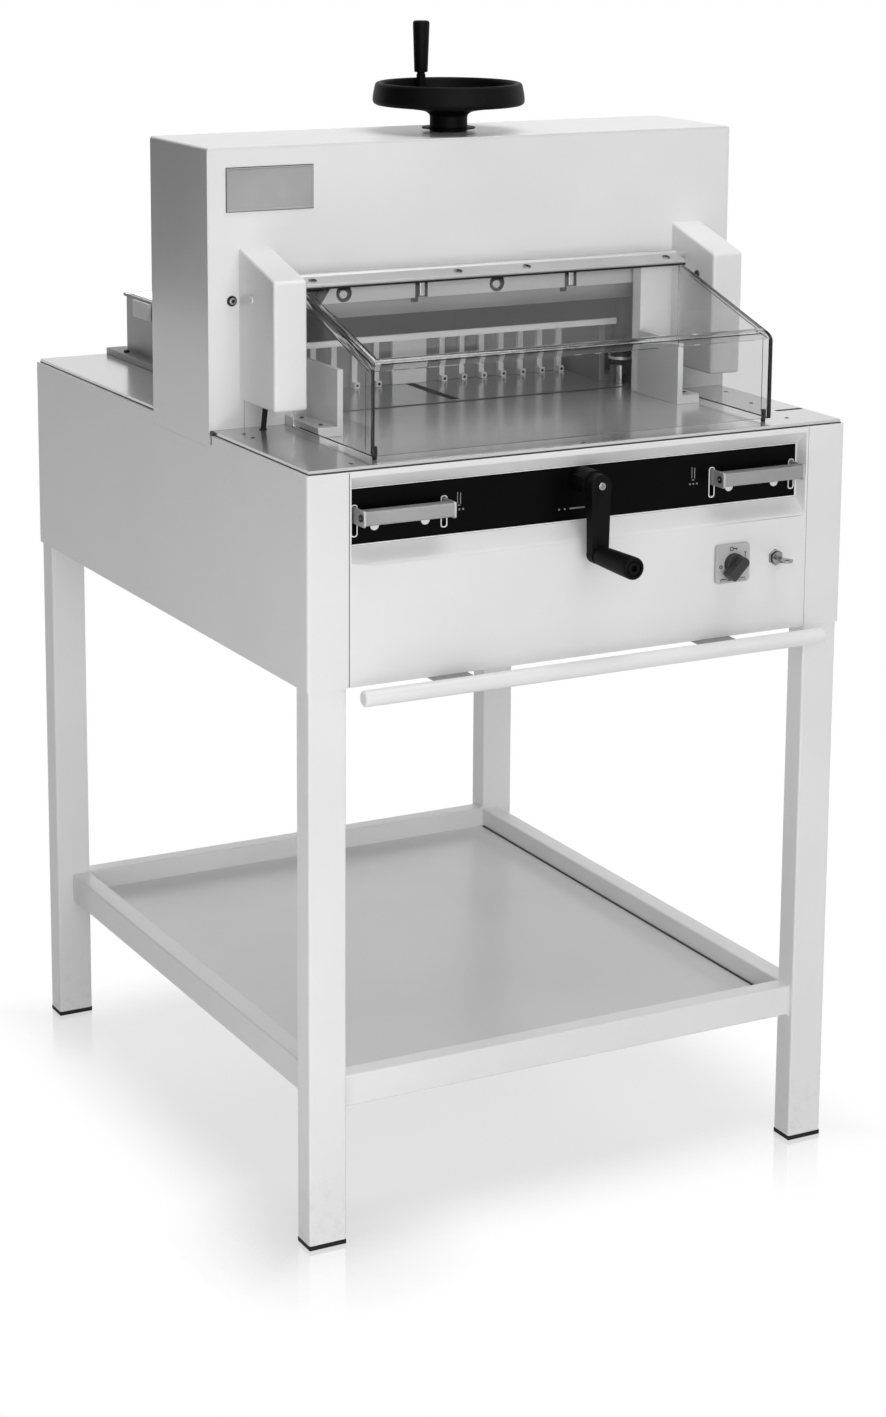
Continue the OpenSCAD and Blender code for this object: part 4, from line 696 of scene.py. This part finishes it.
for x in panel["caps"]:
    cap = addRound("cap", (x, 15.2, panel["capZ"]), panel["capRadius"], 1.8, "y", 32)
    capSlot = addBlock("capSlot", (x - 4, 14, panel["capZ"] - 0.5), (x + 4, 15.7, panel["capZ"] + 0.5))
    caps.append(combine(softenEdges(cap, 0.8, 3, 60), capSlot, "DIFFERENCE"))
done(joinUp("panelCaps", caps), "frame", whitePom, "white_plastic")
areas = []
for x in panel["signs"]:  # a blade over a sheet, beside each bar
    areas += [((x - 3.6, 914), (x - 2.6, 928)), ((x + 0.4, 913), (x + 1.6, 927)),
              ((x - 2.8, 911), (x + 0.6, 912.2))]
    areas += [((x - 7 + 5.2 * i, 905.4), (x - 4.6 + 5.2 * i, 907.6)) for i in range(3)]
areas += [((low, 891.4), (high, 893.4)) for low, high in ((-32, -29.6), (-24, -21.6), (-16, 6))]
marks = flatBlocks("mark", areas, (16.7, panel["face"]), 0.12, 1)
done(joinUp("panelMarks", marks), "frame", printGrey, "white_plastic")
areas = [((-318, 876), (318, 877.6)), ((-318, 944.9), (318, 946)), ((-318, 876), (-316.9, 946)),
         ((316.4, 876), (318, 946))]
edging = flatBlocks("edging", areas, (16.2, panel["face"]), 0.3)
done(joinUp("panelEdging", edging), "frame", whiteInkAndHighlight, "white_plastic")

# rotary switch: plate with soft corners, printed marks, a disc with a slanted lever
switch = {"centre": (211, 804), "half": 25, "corner": 5, "bodyHalf": 20, "lean": math.radians(45)}
sx, sz = switch["centre"]
half, bodyHalf = switch["half"], switch["bodyHalf"]
plate = addBlock("switchPlate", (sx - half, -6, sz - half), (sx + half, 0, sz + half))
roundEdges(plate, switch["corner"], 5, along("y"))
softenEdges(plate, 1.2, 3, 60)
body = addBlock("switchBody", (sx - bodyHalf, 0, sz - bodyHalf), (sx + bodyHalf, 46, sz + bodyHalf))
switchPieces = [plate, softenEdges(body, 1.0)]
done(joinUp("switchPlate", switchPieces), "frame", greyAbs, "grey_plastic", ["main_switch"])
signs = [hollow(addRound("sign", (sx + x, -6.3, sz + z), radius, 0.3, "y", 24), 1.1)
         for x, z, radius in ((-3, 19, 2.9), (-18.5, -3, 2.4))]
areas = [((-0.4, 18.4), (6, 19.8)), ((3.4, 16.4), (4.4, 18.4)), ((18.4, -5.4), (19.5, -0.4)),
         ((17.2, 6), (18.2, 13)), ((16.2, 12.4), (19.2, 13.6)), ((-10, -22), (10, -21))]
areas = [((sx + low[0], sz + low[1]), (sx + high[0], sz + high[1])) for low, high in areas]
signs += flatBlocks("sign", areas, (-6.3, -6.0), 0.12, 1)
done(joinUp("switchSigns", signs), "frame", darkAbs, "dark_plastic")
areas = [((sx + low, sz - 22.4), (sx + high, sz - 18.8)) for low, high in ((-19, -10), (7, 18))]
done(joinUp("switchHasp", flatBlocks("hasp", areas, (-8.2, -5.8), 0.7, 3)), "frame", darkReflectionLockMetal, "lock_metal")
knobOutline = [(0, 4), (5, 4), (5, -6.3), (13.5, -6.3), (13.5, -12.6)] + rounded((12.1, -12.9), 1.4, 0, -90, 4)
knobOutline += [(9, -14.3), (0, -14.3)]
knob = turnOutline("switchKnob", knobOutline, (sx, 0, sz), "y")
lever = addBlock("lever", (sx - 21, -27.5, sz - 7.4), (sx + 13, -12, sz + 7.4))
roundEdges(lever, 6.0, 5, lambda middle, way: abs(way.y) > 0.9 and middle.x > sx * mm)
roundEdges(lever, 2.0, 3, lambda middle, way: abs(way.y) > 0.9 and middle.x < sx * mm)
pickFaces(lever, lambda middle, normal: normal.y < -0.9)
bpy.ops.transform.resize(value=(0.95, 1, 0.86))  # narrower at its front
leaveEdit()
softenEdges(lever, 1.2, 3, 45)
hub = at(sx, 0, sz)
lean = Matrix.Rotation(-switch["lean"], 4, "Y")
lever.matrix_world = Matrix.Translation(hub) @ lean @ Matrix.Translation(-hub)
settle(lever)
done(joinUp("switchKnob", [knob, lever]), "switch_knob", darkAbs, "dark_plastic", ["switch_knob"], 40)

# key lock: hexagon nut, turned collar with a dark rim of painted shade round its bright plug, and a flat key with a
# bored bow
lock = {"centre": (278, 804), "nut": 10.8, "rim": 7.6, "bow": 9.5, "bore": 2.8}
lx, lz = lock["centre"]
nut = softenEdges(addRound("nut", (lx, -3.4, lz), lock["nut"], 3.4, "y", 6), 0.8, 3, 40)
collarOutline = [(0, 26), (7, 26), (7, -3.4), (8.2, -3.6), (8.2, -5.2)] + rounded((7.4, -5.2), 0.8, 0, -90, 4)
collarOutline += [(5.2, -6), (5, -5.2), (0, -5.2)]
collar = turnOutline("collar", collarOutline, (lx, 0, lz), "y", 48)
plug = at(lx, 0, lz)
paintTwo(collar, darkReflectionLockMetal, blackOxide, lambda middle, way: across(middle, plug) > lock["rim"] * mm)
done(joinUp("keyLock", [paint(nut, darkReflectionLockMetal), collar]), "frame", None, "lock_metal", ["key_lock"])
bow = addRound("lockKey", (lx, -24, lz - 1.25), lock["bow"], 2.5, "z", 40)
combine(bow, addBlock("keyBlade", (lx - 4, -20, lz - 1.25), (lx + 4, 16, lz + 1.25)), "UNION")
combine(bow, addRound("bore", (lx, -27.5, lz - 10), lock["bore"], 20, "z", 24), "DIFFERENCE")
done(softenEdges(bow, 0.5, 2, 40), "key", darkReflectionLockMetal, "lock_metal", ["key"])
print("controls built")

# cable of the guard switch, leaning from the table up into the left cover, with a grommet on the table
cable = {"x": (-315.5, -311.0), "y": 262, "radius": 3.4, "z": (924, 973, 1013, 1050), "grommetZ": 974}
lowX, highX = cable["x"]
low, table, cover, high = cable["z"]
lead = [addRound("cable", (x, cable["y"], start), cable["radius"], end - start, "z", 24)
        for x, start, end in ((lowX, table, cover), (lowX, low, table), (highX, cover, high))]
pickFaces(lead[0], lambda middle, normal: normal.z > 0.9)
bpy.ops.transform.translate(value=((highX - lowX) * mm, 0, 0))
leaveEdit()
grommet = [(3.4, 0), (4.8, 0), (5.1, 0.4), (4.9, 0.9), (4.2, 1.2), (3.4, 1.2), (3.4, 0)]
lead.append(turnOutline("grommet", grommet, (lowX, cable["y"], cable["grommetZ"]), "z", 32))
done(joinUp("switchCable", lead), "frame", rubber, "rubber", ["box_cable"])

# bare plate on the tower, and a screw with a turned ring
barePlate = addBlock("barePlate", (-354.4, 280.2, 1245.6), (-236.6, 282, 1299.4))
pickFaces(barePlate, lambda middle, normal: normal.y < -0.9)
bpy.ops.mesh.inset(thickness=1.8 * mm)
bpy.ops.mesh.extrude_region_move(TRANSFORM_OT_translate={"value": (0, 0.9 * mm, 0)})
bpy.ops.transform.resize(value=(0.99, 1, 0.98))
leaveEdit()
done(softenEdges(barePlate, 0.3, 2, 30), "frame", barAluminium, "aluminium")
# a dark outline round the plate: painted shade in the gap behind its edge
plateGapShade = addBlock("plateGapShadeLine", (-355.2, 281.5, 1244.8), (-235.8, 282, 1300.2))
done(softenEdges(plateGapShade, 0.2, 1), "frame", blackOxide, "aluminium")
ring = {"place": (-348, 282, 1135), "head": 4.8, "recess": 1.8}
ringOutline = [(0, 0), (6.6, 0), (6.6, -1.0), (6.2, -1.4), (4.9, -1.4), (4.6, -3.0)]
ringOutline += rounded((3.4, -3.2), 1.2, 0, -90, 4) + [(2.2, -4.4), (1.9, -3.0), (0, -3.0)]
towerScrew = turnOutline("towerScrew", ringOutline, ring["place"], "y", 40)
ringMiddle = at(*ring["place"])
paintTwo(towerScrew, darkReflectionLockMetal, blackOxide,  # dark washer, painted shade in the recess, bright head
         lambda middle, way: not ring["recess"] * mm <= across(middle, ringMiddle) <= ring["head"] * mm)
done(towerScrew, "frame", None, "lock_metal")

# strip along the guard's hinge, with its four flat screws and a dark line of painted shade under its lower edge
strip = softenEdges(copyNode("guardStrip", "guard_profile"), 0.35)
topFaces = [face for face in strip.data.polygons if face.normal.z > 0.9 and face.normal.y < -0.2]
topFace = max(topFaces, key=lambda face: face.area)
faceCentre, faceNormal = topFace.center.copy(), topFace.normal.copy()
done(strip, "guard", stripAluminium, "aluminium", ["guard_profile"])
stripPlaces = [(x, (faceCentre.y - frontPlane) / mm, faceCentre.z / mm) for x in (-260, -56, 44, 254)]
fasten("stripScrews", stripScrew, stripPlaces, faceNormal, "guard", None, "lock_metal", 0.4)
stripShade = addBlock("stripShadeLine", (-277, 222.4, 1151.2), (277, 224.0, 1153.6))
done(softenEdges(stripShade, 0.4), "guard", rubber, "rubber")

# screws in the table, guides, covers and rear sheets, and a dark strip of painted shade where a stop slot lies in the
# table
tablePlaces = ((-349, 246), (-349, 219), (-312, 23), (0, 13), (318, 40), (338, 150), (355, 236))
up, back, leftward = (0, 0, 1), (0, 1, 0), (-1, 0, 0)
fasten("tableScrews", studScrew, [(x, y, 973.0) for x, y in tablePlaces], up, "frame", blackOxide,
       "table_steel")
stopSlot = addBlock("stopSlot", (333, 83.5, 973.6), (374, 91.5, 974.08))
roundEdges(stopSlot, 3.6, 4, along("z"))
done(stopSlot, "frame", rubber, "table_steel")
for name, template, places, way, finish, slot in [
        ("coverScrews", panScrew, [(-338, 243, 1141)], leftward, whitePaint, "white_paint"),
        ("coverInnerScrews", panScrew, [(293, 218, 1139)], leftward, darkAbs, "dark_plastic"),
        ("rearFootScrews", capScrew, [(x, y, 983) for x in (-266, 266) for y in (410, 640, 834)], up,
         blackOxide, "lock_metal"),
        ("frontFootScrews", studScrew, [(x, y, 986) for x in (-264, 264) for y in (200, 255)], up,
         blackOxide, "lock_metal"),
        ("rearPanelScrews", panScrew, [(x, 886, z) for x in (-360, 0, 360) for z in (722, 955)], back,
         darkReflectionLockMetal, "lock_metal"),
        ("towerRearScrews", panScrew, [(x, 462, z) for x in (-362, 362) for z in (990, 1150, 1308)], back,
         darkReflectionLockMetal, "lock_metal")]:
    fasten(name, template, places, way, "frame", finish, slot)
for template in (capScrew, studScrew, stripScrew, barScrew, panScrew):
    bpy.data.objects.remove(template, do_unlink=True)

# clamp posts: the upper shank near-black and the ground foot's chrome darkened, both a painted dark reflection, with
# a collar and a rubber ring where they meet
post = {"places": (-266, 266), "y": 365, "split": 1011, "ringZ": 999, "collarZ": 1006.4}
posts = softenEdges(copyNode("clampPosts", "clamp_posts"), 0.8)
editAll(posts)
bpy.ops.mesh.bisect(plane_co=(0, 0, post["split"] * mm), plane_no=(0, 0, 1))
leaveEdit()
paintTwo(posts, darkReflectionChrome, shadeBlackSteel, lambda middle, way: middle.z > post["split"] * mm)
done(posts, "frame", None, "chrome_post", ["clamp_posts"])
ringOutline = [(14.1, 0), (16.4, 0)] + rounded((16.6, 3.5), 1.2, -80, 80, 6) + [(16.4, 7), (14.1, 7), (14.1, 0)]
collarOutline = [(14.1, 0), (16.2, 0), (16.6, 0.4), (16.6, 3.2), (16.2, 3.6), (14.1, 3.6), (14.1, 0)]
rings = [turnOutline("ring", ringOutline, (x, post["y"], post["ringZ"]), "z", 40) for x in post["places"]]
collars = [turnOutline("collar", collarOutline, (x, post["y"], post["collarZ"]), "z", 40)
           for x in post["places"]]
done(joinUp("postRings", rings), "frame", rubber, "rubber")
done(joinUp("postCollars", collars), "frame", aluminium, "chrome_post")

# dark discs in the feet of the back gauge: painted shade of their sockets
gaugeHole = {"first": 50, "pitch": 30.6, "count": 7, "y": 467.7, "z": 978.4, "radius": 2.1}
holes = []
for k in range(gaugeHole["count"]):
    for side in (-1, 1):
        place = (side * (gaugeHole["first"] + gaugeHole["pitch"] * k), gaugeHole["y"], gaugeHole["z"])
        holes.append(softenEdges(addRound("hole", place, gaugeHole["radius"], 0.4, "y", 16), 0.15, 1, 60))
done(joinUp("gaugeFootSocketShades", holes), "gauge", rubber, "gauge_alu")
print("small parts built")

# guard: one clear sheet bent over the front and both sides, with dark glued joints at the front corners
guard = {"x": 283, "y": (25, 243.9), "z": (979, 1157.6), "bend": 1091, "sheet": 4.0, "foldRadius": 12.0,
         "slope": math.atan2(69, 227), "flat": 0.985}  # slope: the hood's fall towards the front, 69 in 227
shell = addBlock("guardShell", (-guard["x"], guard["y"][0], guard["z"][0]),
                 (guard["x"], guard["y"][1], guard["z"][1]))
guardFront, guardTop = at(0, guard["y"][0] + 1, 0).y, (guard["z"][1] - 1) * mm
pickEdges(shell, lambda middle, way: abs(way.x) > 0.9 and middle.y < guardFront and middle.z > guardTop)
bpy.ops.transform.translate(value=(0, 0, (guard["bend"] - guard["z"][1]) * mm))
leaveEdit()
pickFaces(shell, lambda middle, normal: normal.z < -0.9 or normal.y > 0.9)
bpy.ops.mesh.delete(type="FACE")
leaveEdit()


def isFold(middle, way):  # the bend over the front and the two slanted side bends
    front = abs(way.x) > 0.9 and middle.y < guardFront and 1.08 < middle.z < 1.1
    return front or (abs(way.y) > 0.8 and middle.z > 1.1)


roundEdges(shell, guard["foldRadius"], 10, isFold)
wall = shell.modifiers.new("sheet", "SOLIDIFY")
wall.thickness = guard["sheet"] * mm
wall.offset = -1
wall.use_even_offset = True
applyAll(shell)
softenEdges(shell, 0.4, 2, 60)
slopeWay = Vector((0, -math.sin(guard["slope"]), math.cos(guard["slope"])))


def isBent(middle, way):  # bends and cut edges are polished and bend the light more; their darker tint is a painted dark streak
    front = abs(way.y) > guard["flat"] and middle.y < guardFront + 0.03
    return not (front or abs(way.x) > guard["flat"] or abs(way.dot(slopeWay)) > guard["flat"])


paintTwo(shell, clearAcrylic, acrylicEdge, isBent)
done(shell, "guard", None, "clear_sheet", ["guard_hood", "guard_sides"])
darkLines = softBlocks("darkLine", [((x, 25.3, 980), (x + 3.4, 28.7, 1083)) for x in (-282.7, 279.3)], 0.8, 3)
lean = Matrix.Rotation(guard["slope"], 4, "X")
for x, drop in ((271, 0), (281, 11.6), (278.6, 3.6)):  # painted dark streaks along the slanted bends
    for side in (-1, 1):
        darkLine = addBlock("darkLine", (side * x - 0.6, zeroY, 0), (side * x + 0.6, zeroY + 190, 1.2))
        softenEdges(darkLine, 0.3).matrix_world = Matrix.Translation(at(0, 36, 1091.6 - drop)) @ lean
        darkLines.append(settle(darkLine))
for x in (-281.6, 280.4):  # along the lower edges and the upright bends
    darkLines += softBlocks("darkLine", [((x, 30, 979.2), (x + 1.2, 228, 980.4))], 0.3)
    darkLines += softBlocks("darkLine", [((x + 0.2, 43.6, 985), (x + 1.0, 44.4, 1080))], 0.2)
# a painted dark streak inside the bend over the front
darkLines += softBlocks("darkLine", [((-268, 28.8, 1087.2), (268, 29.9, 1088.3))], 0.3)
done(joinUp("guardDarkLines", darkLines), "guard", rubber, "rubber")

# clamp beam: near-black body, painted shade for its face in the shadow behind the knife, on a bright ground sole
soleTop = 1.0665
dressTwo("clamp_beam", "clampBeam", "clamp", shadeBlackSteel, brightSteel, "bright_steel", 0.5,
         lambda middle, way: middle.z < soleTop)

# knife carrier: milled face, with painted shade darkening its recesses and slots
recesses = {"y": (307.2, 320), "z": (1.1165, 1.165), "x": 0.2, "slots": (-71, 151), "bolts": (-182, 40)}
carrierFace, carrierBack = (at(0, y, 0).y for y in recesses["y"])
dressTwo("knife_carrier", "knifeCarrier", "knife", brightSteel, shadeBlackSteel, "bright_steel", 0.5,
         lambda middle, way: carrierFace < middle.y < carrierBack
         and recesses["z"][0] < middle.z < recesses["z"][1] and abs(middle.x) < recesses["x"])
bolts = [softenEdges(addRound("bolt", (x, 307.6, 1127.5), 5.6, 6.4, "y", 32), 0.8, 3, 60)
         for x in recesses["bolts"]]
bolts += softBlocks("bar", [((x - 1, 309, 1118), (x + 7, 314.2, 1158)) for x in recesses["slots"]], 1.2, 3)
done(joinUp("carrierBolts", bolts), "knife", turnedSteel, "bright_steel")
# dark blocks on the knife: painted shade where the slots run down past the carrier
notchShades = softBlocks("notchShade", [((x - 7, 321.3, 1109), (x + 3, 322.3, 1117)) for x in recesses["slots"]], 0.4)
done(joinUp("knifeNotchShades", notchShades), "knife", shadeBlackSteel, "bright_steel")

# back gauge: bright ground ribs over a darker field between them
fieldPlane = at(0, 482, 0).y
dressTwo("backgauge", "backGauge", "gauge", gaugeAluminium, gaugeField, "gauge_alu", 0.5,
         lambda middle, way: abs(middle.y - fieldPlane) < 0.0008 and way.y < -0.9)

# hidden machinery keeps its own solids
for finish, nodes in [
        (castIron, ("stick_beam", "cheek_left", "cheek_right", "crossbeam", "carrier_guides",
                    "spindle_bearings", "gauge_carriage")),
        (turnedSteel, ("pull_rod", "drive_crank", "clamp_spindle", "gauge_spindle")),
        (machinePaint, ("motor", "gearbox")), (darkAbs, ("micro_switches",)), (boxPlastic, ("control_box",)),
        (bronze, ("clamp_nut",))]:
    for node in nodes:
        paint(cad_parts[node], finish)
print("machinery painted")


# 1 for what the camera sees itself, in a reflection or through the guard
def seenRays(tree):
    path = addNode(tree, "LightPath").outputs
    seen = calculate(tree, "MAXIMUM", path["Is Camera Ray"], path["Is Glossy Ray"])
    return calculate(tree, "MAXIMUM", seen, path["Is Transmission Ray"])


def addPlane(name, size, place, turn):
    clearSelection()
    bpy.ops.mesh.primitive_plane_add(size=size, location=place, rotation=turn)
    return nameNew(name)


# stage: a pale floor that fades to white, with a painted shadow below the stand, soft lamps, white surroundings
floor = addPlane("studioFloor", 24, (0, 0, 0), (0, 0, 0))
floorPaint = bpy.data.materials.new("studioFloorPaint")
tree = emptyTree(floorPaint)
pale = addNode(tree, "BsdfPrincipled", {"Base Color": (0.62, 0.62, 0.62, 1), "Roughness": 0.2, "IOR": 1.45})
glow = addNode(tree, "Emission", {"Color": (1, 1, 1, 1), "Strength": 1.0})
mirror = addNode(tree, "BsdfPrincipled", {"Base Color": (1, 1, 1, 1), "Metallic": 1.0, "Roughness": 0.06})
ground = addNode(tree, "SeparateXYZ", None, {"Vector": addNode(tree, "TexCoord").outputs["Object"]})
shadowFootprint = {"X": (0.0, 0.43), "Y": (0.055, 0.455)}  # middle and half width of the painted shadow below the stand
beyond = []
for axis, (middle, half) in shadowFootprint.items():
    aside = calculate(tree, "ABSOLUTE", calculate(tree, "SUBTRACT", ground.outputs[axis], middle))
    beyond.append(calculate(tree, "SUBTRACT", aside, half))
reach = calculate(tree, "MAXIMUM", *beyond)  # the painted shadow follows the stand's outline
# inside the outline the glow is dimmed, a painted shadow, and the floor's own shading with the real shadow shows
# through in part
shadowFade = mapRange(tree, reach, -0.1, 0.07, 0.67, 1.0, interpolation_type="SMOOTHSTEP")
corner = addNode(tree, "CombineXYZ", None, {"X": beyond[0], "Y": beyond[1]})
footGap = addNode(tree, "VectorMath", {"operation": "DISTANCE", 1: (-0.0775, -0.03, 0)}, {0: corner.outputs[0]})
near = mapRange(tree, footGap.outputs["Value"], 0.02, 0.2, 0.24, 0.0)  # the feet mirror faintly
inside = mapRange(tree, reach, -0.13, -0.03)  # no mirror under the shelf
sheen = calculate(tree, "MULTIPLY", near, inside)
amount = calculate(tree, "MULTIPLY", seenRays(tree), shadowFade)
floorMix = addNode(tree, "MixShader", None, {0: amount, 1: pale.outputs["BSDF"], 2: glow.outputs["Emission"]})
polish = addNode(tree, "MixShader", None, {0: sheen, 1: floorMix.outputs["Shader"], 2: mirror.outputs["BSDF"]})
addNode(tree, "OutputMaterial", None, {"Surface": polish.outputs["Shader"]})
floor.data.materials.append(floorPaint)

# world: white to well above eye level with a dim ceiling where it is seen, a weak fill elsewhere
world = bpy.data.worlds.new("studio")
scene.world = world
tree = emptyTree(world)
fill = addNode(tree, "Background", {"Color": (1, 1, 1, 1), "Strength": 0.16})
sky = addNode(tree, "SeparateXYZ", None, {"Vector": addNode(tree, "TexCoord").outputs["Generated"]})
ceiling = mapRange(tree, sky.outputs["Z"], 0.46, 0.75, 1.0, 0.3)
white = addNode(tree, "Background", {"Color": (1, 1, 1, 1)}, {"Strength": ceiling})
worldMix = addNode(tree, "MixShader", None,
                   {0: seenRays(tree), 1: fill.outputs["Background"], 2: white.outputs["Background"]})
addNode(tree, "OutputWorld", None, {"Surface": worldMix.outputs["Shader"]})

# lamps: place, target, size in m, power in W
lamps = [("lowSoftbox", (-1.25, -1.0, 0.22), (-0.38, -0.2, 0.5), 0.7, 4.2),
         ("keySoftbox", (-0.8, -4.2, 1.5), (0, 0, 0.6), 3.2, 96),
         ("topSoftbox", (0.4, -0.6, 4.2), (0.1, 0, 0.6), 2.6, 76),
         ("rearSoftbox", (0.6, 4.2, 1.6), (0, 0, 0.7), 2.4, 70),
         ("rightSoftbox", (4.2, 0.8, 1.5), (0, 0, 0.7), 2.4, 40),
         ("shelfSoftbox", (0, 0, 0.69), (0, 0, 0), 0.6, 0.15)]
for name, place, target, size, power in lamps:
    data = bpy.data.lights.new(name, "AREA")
    data.shape = "SQUARE"
    data.size = size
    data.energy = power
    lamp = addObject(name, data)
    lamp.location = place
    lamp.visible_camera = False
    lamp.visible_glossy = size > 2.5  # no glare of the smaller lamps
    lamp.rotation_euler = (Vector(target) - Vector(place)).to_track_quat("-Z", "Y").to_euler()

# a dark card beside the tower, out of the camera's sight, keeps that side in shade
card = addPlane("shadeCard", 1, (-0.62, 0.34, 1.38), (0, math.pi / 2, 0))
card.scale = (0.7, 1.24, 1)
card.visible_camera = card.visible_transmission = False
cardPaint = bpy.data.materials.new("blackCard")
cardPaint.diffuse_color = (0, 0, 0, 1)
cardPaint.use_nodes = True
cardPaint.node_tree.nodes["Principled BSDF"].inputs["Base Color"].default_value = (0.01, 0.01, 0.01, 1)
card.data.materials.append(cardPaint)

# camera, fitted to the photograph: turn, tilt and roll in degrees, focal length in pixels of 886 by 1417
camera = {"turn": -28.064, "tilt": -11.044, "roll": 0.362, "place": (-1838.8, -3071.3, 1677.5),
          "focal": 2991.4, "high": 1417, "shiftY": -0.1902, "sensor": 36}
turn, tilt, roll = (math.radians(camera[k]) for k in ("turn", "tilt", "roll"))
facing = Matrix.Rotation(turn, 4, "Z") @ Matrix.Rotation(math.pi / 2 + tilt, 4, "X")
facing = facing @ Matrix.Rotation(roll, 4, "Z")
lens = bpy.data.cameras.new("studioCamera")
lens.sensor_width = camera["sensor"]
lens.lens = camera["sensor"] * camera["focal"] / camera["high"]
lens.shift_y = camera["shiftY"]
lens.clip_end = 60
eye = addObject("studioCamera", lens)
eye.matrix_world = Matrix.Translation(at(*camera["place"])) @ facing
scene.camera = eye
scene.view_settings.view_transform = "Standard"
print("stage, lamps and camera set")
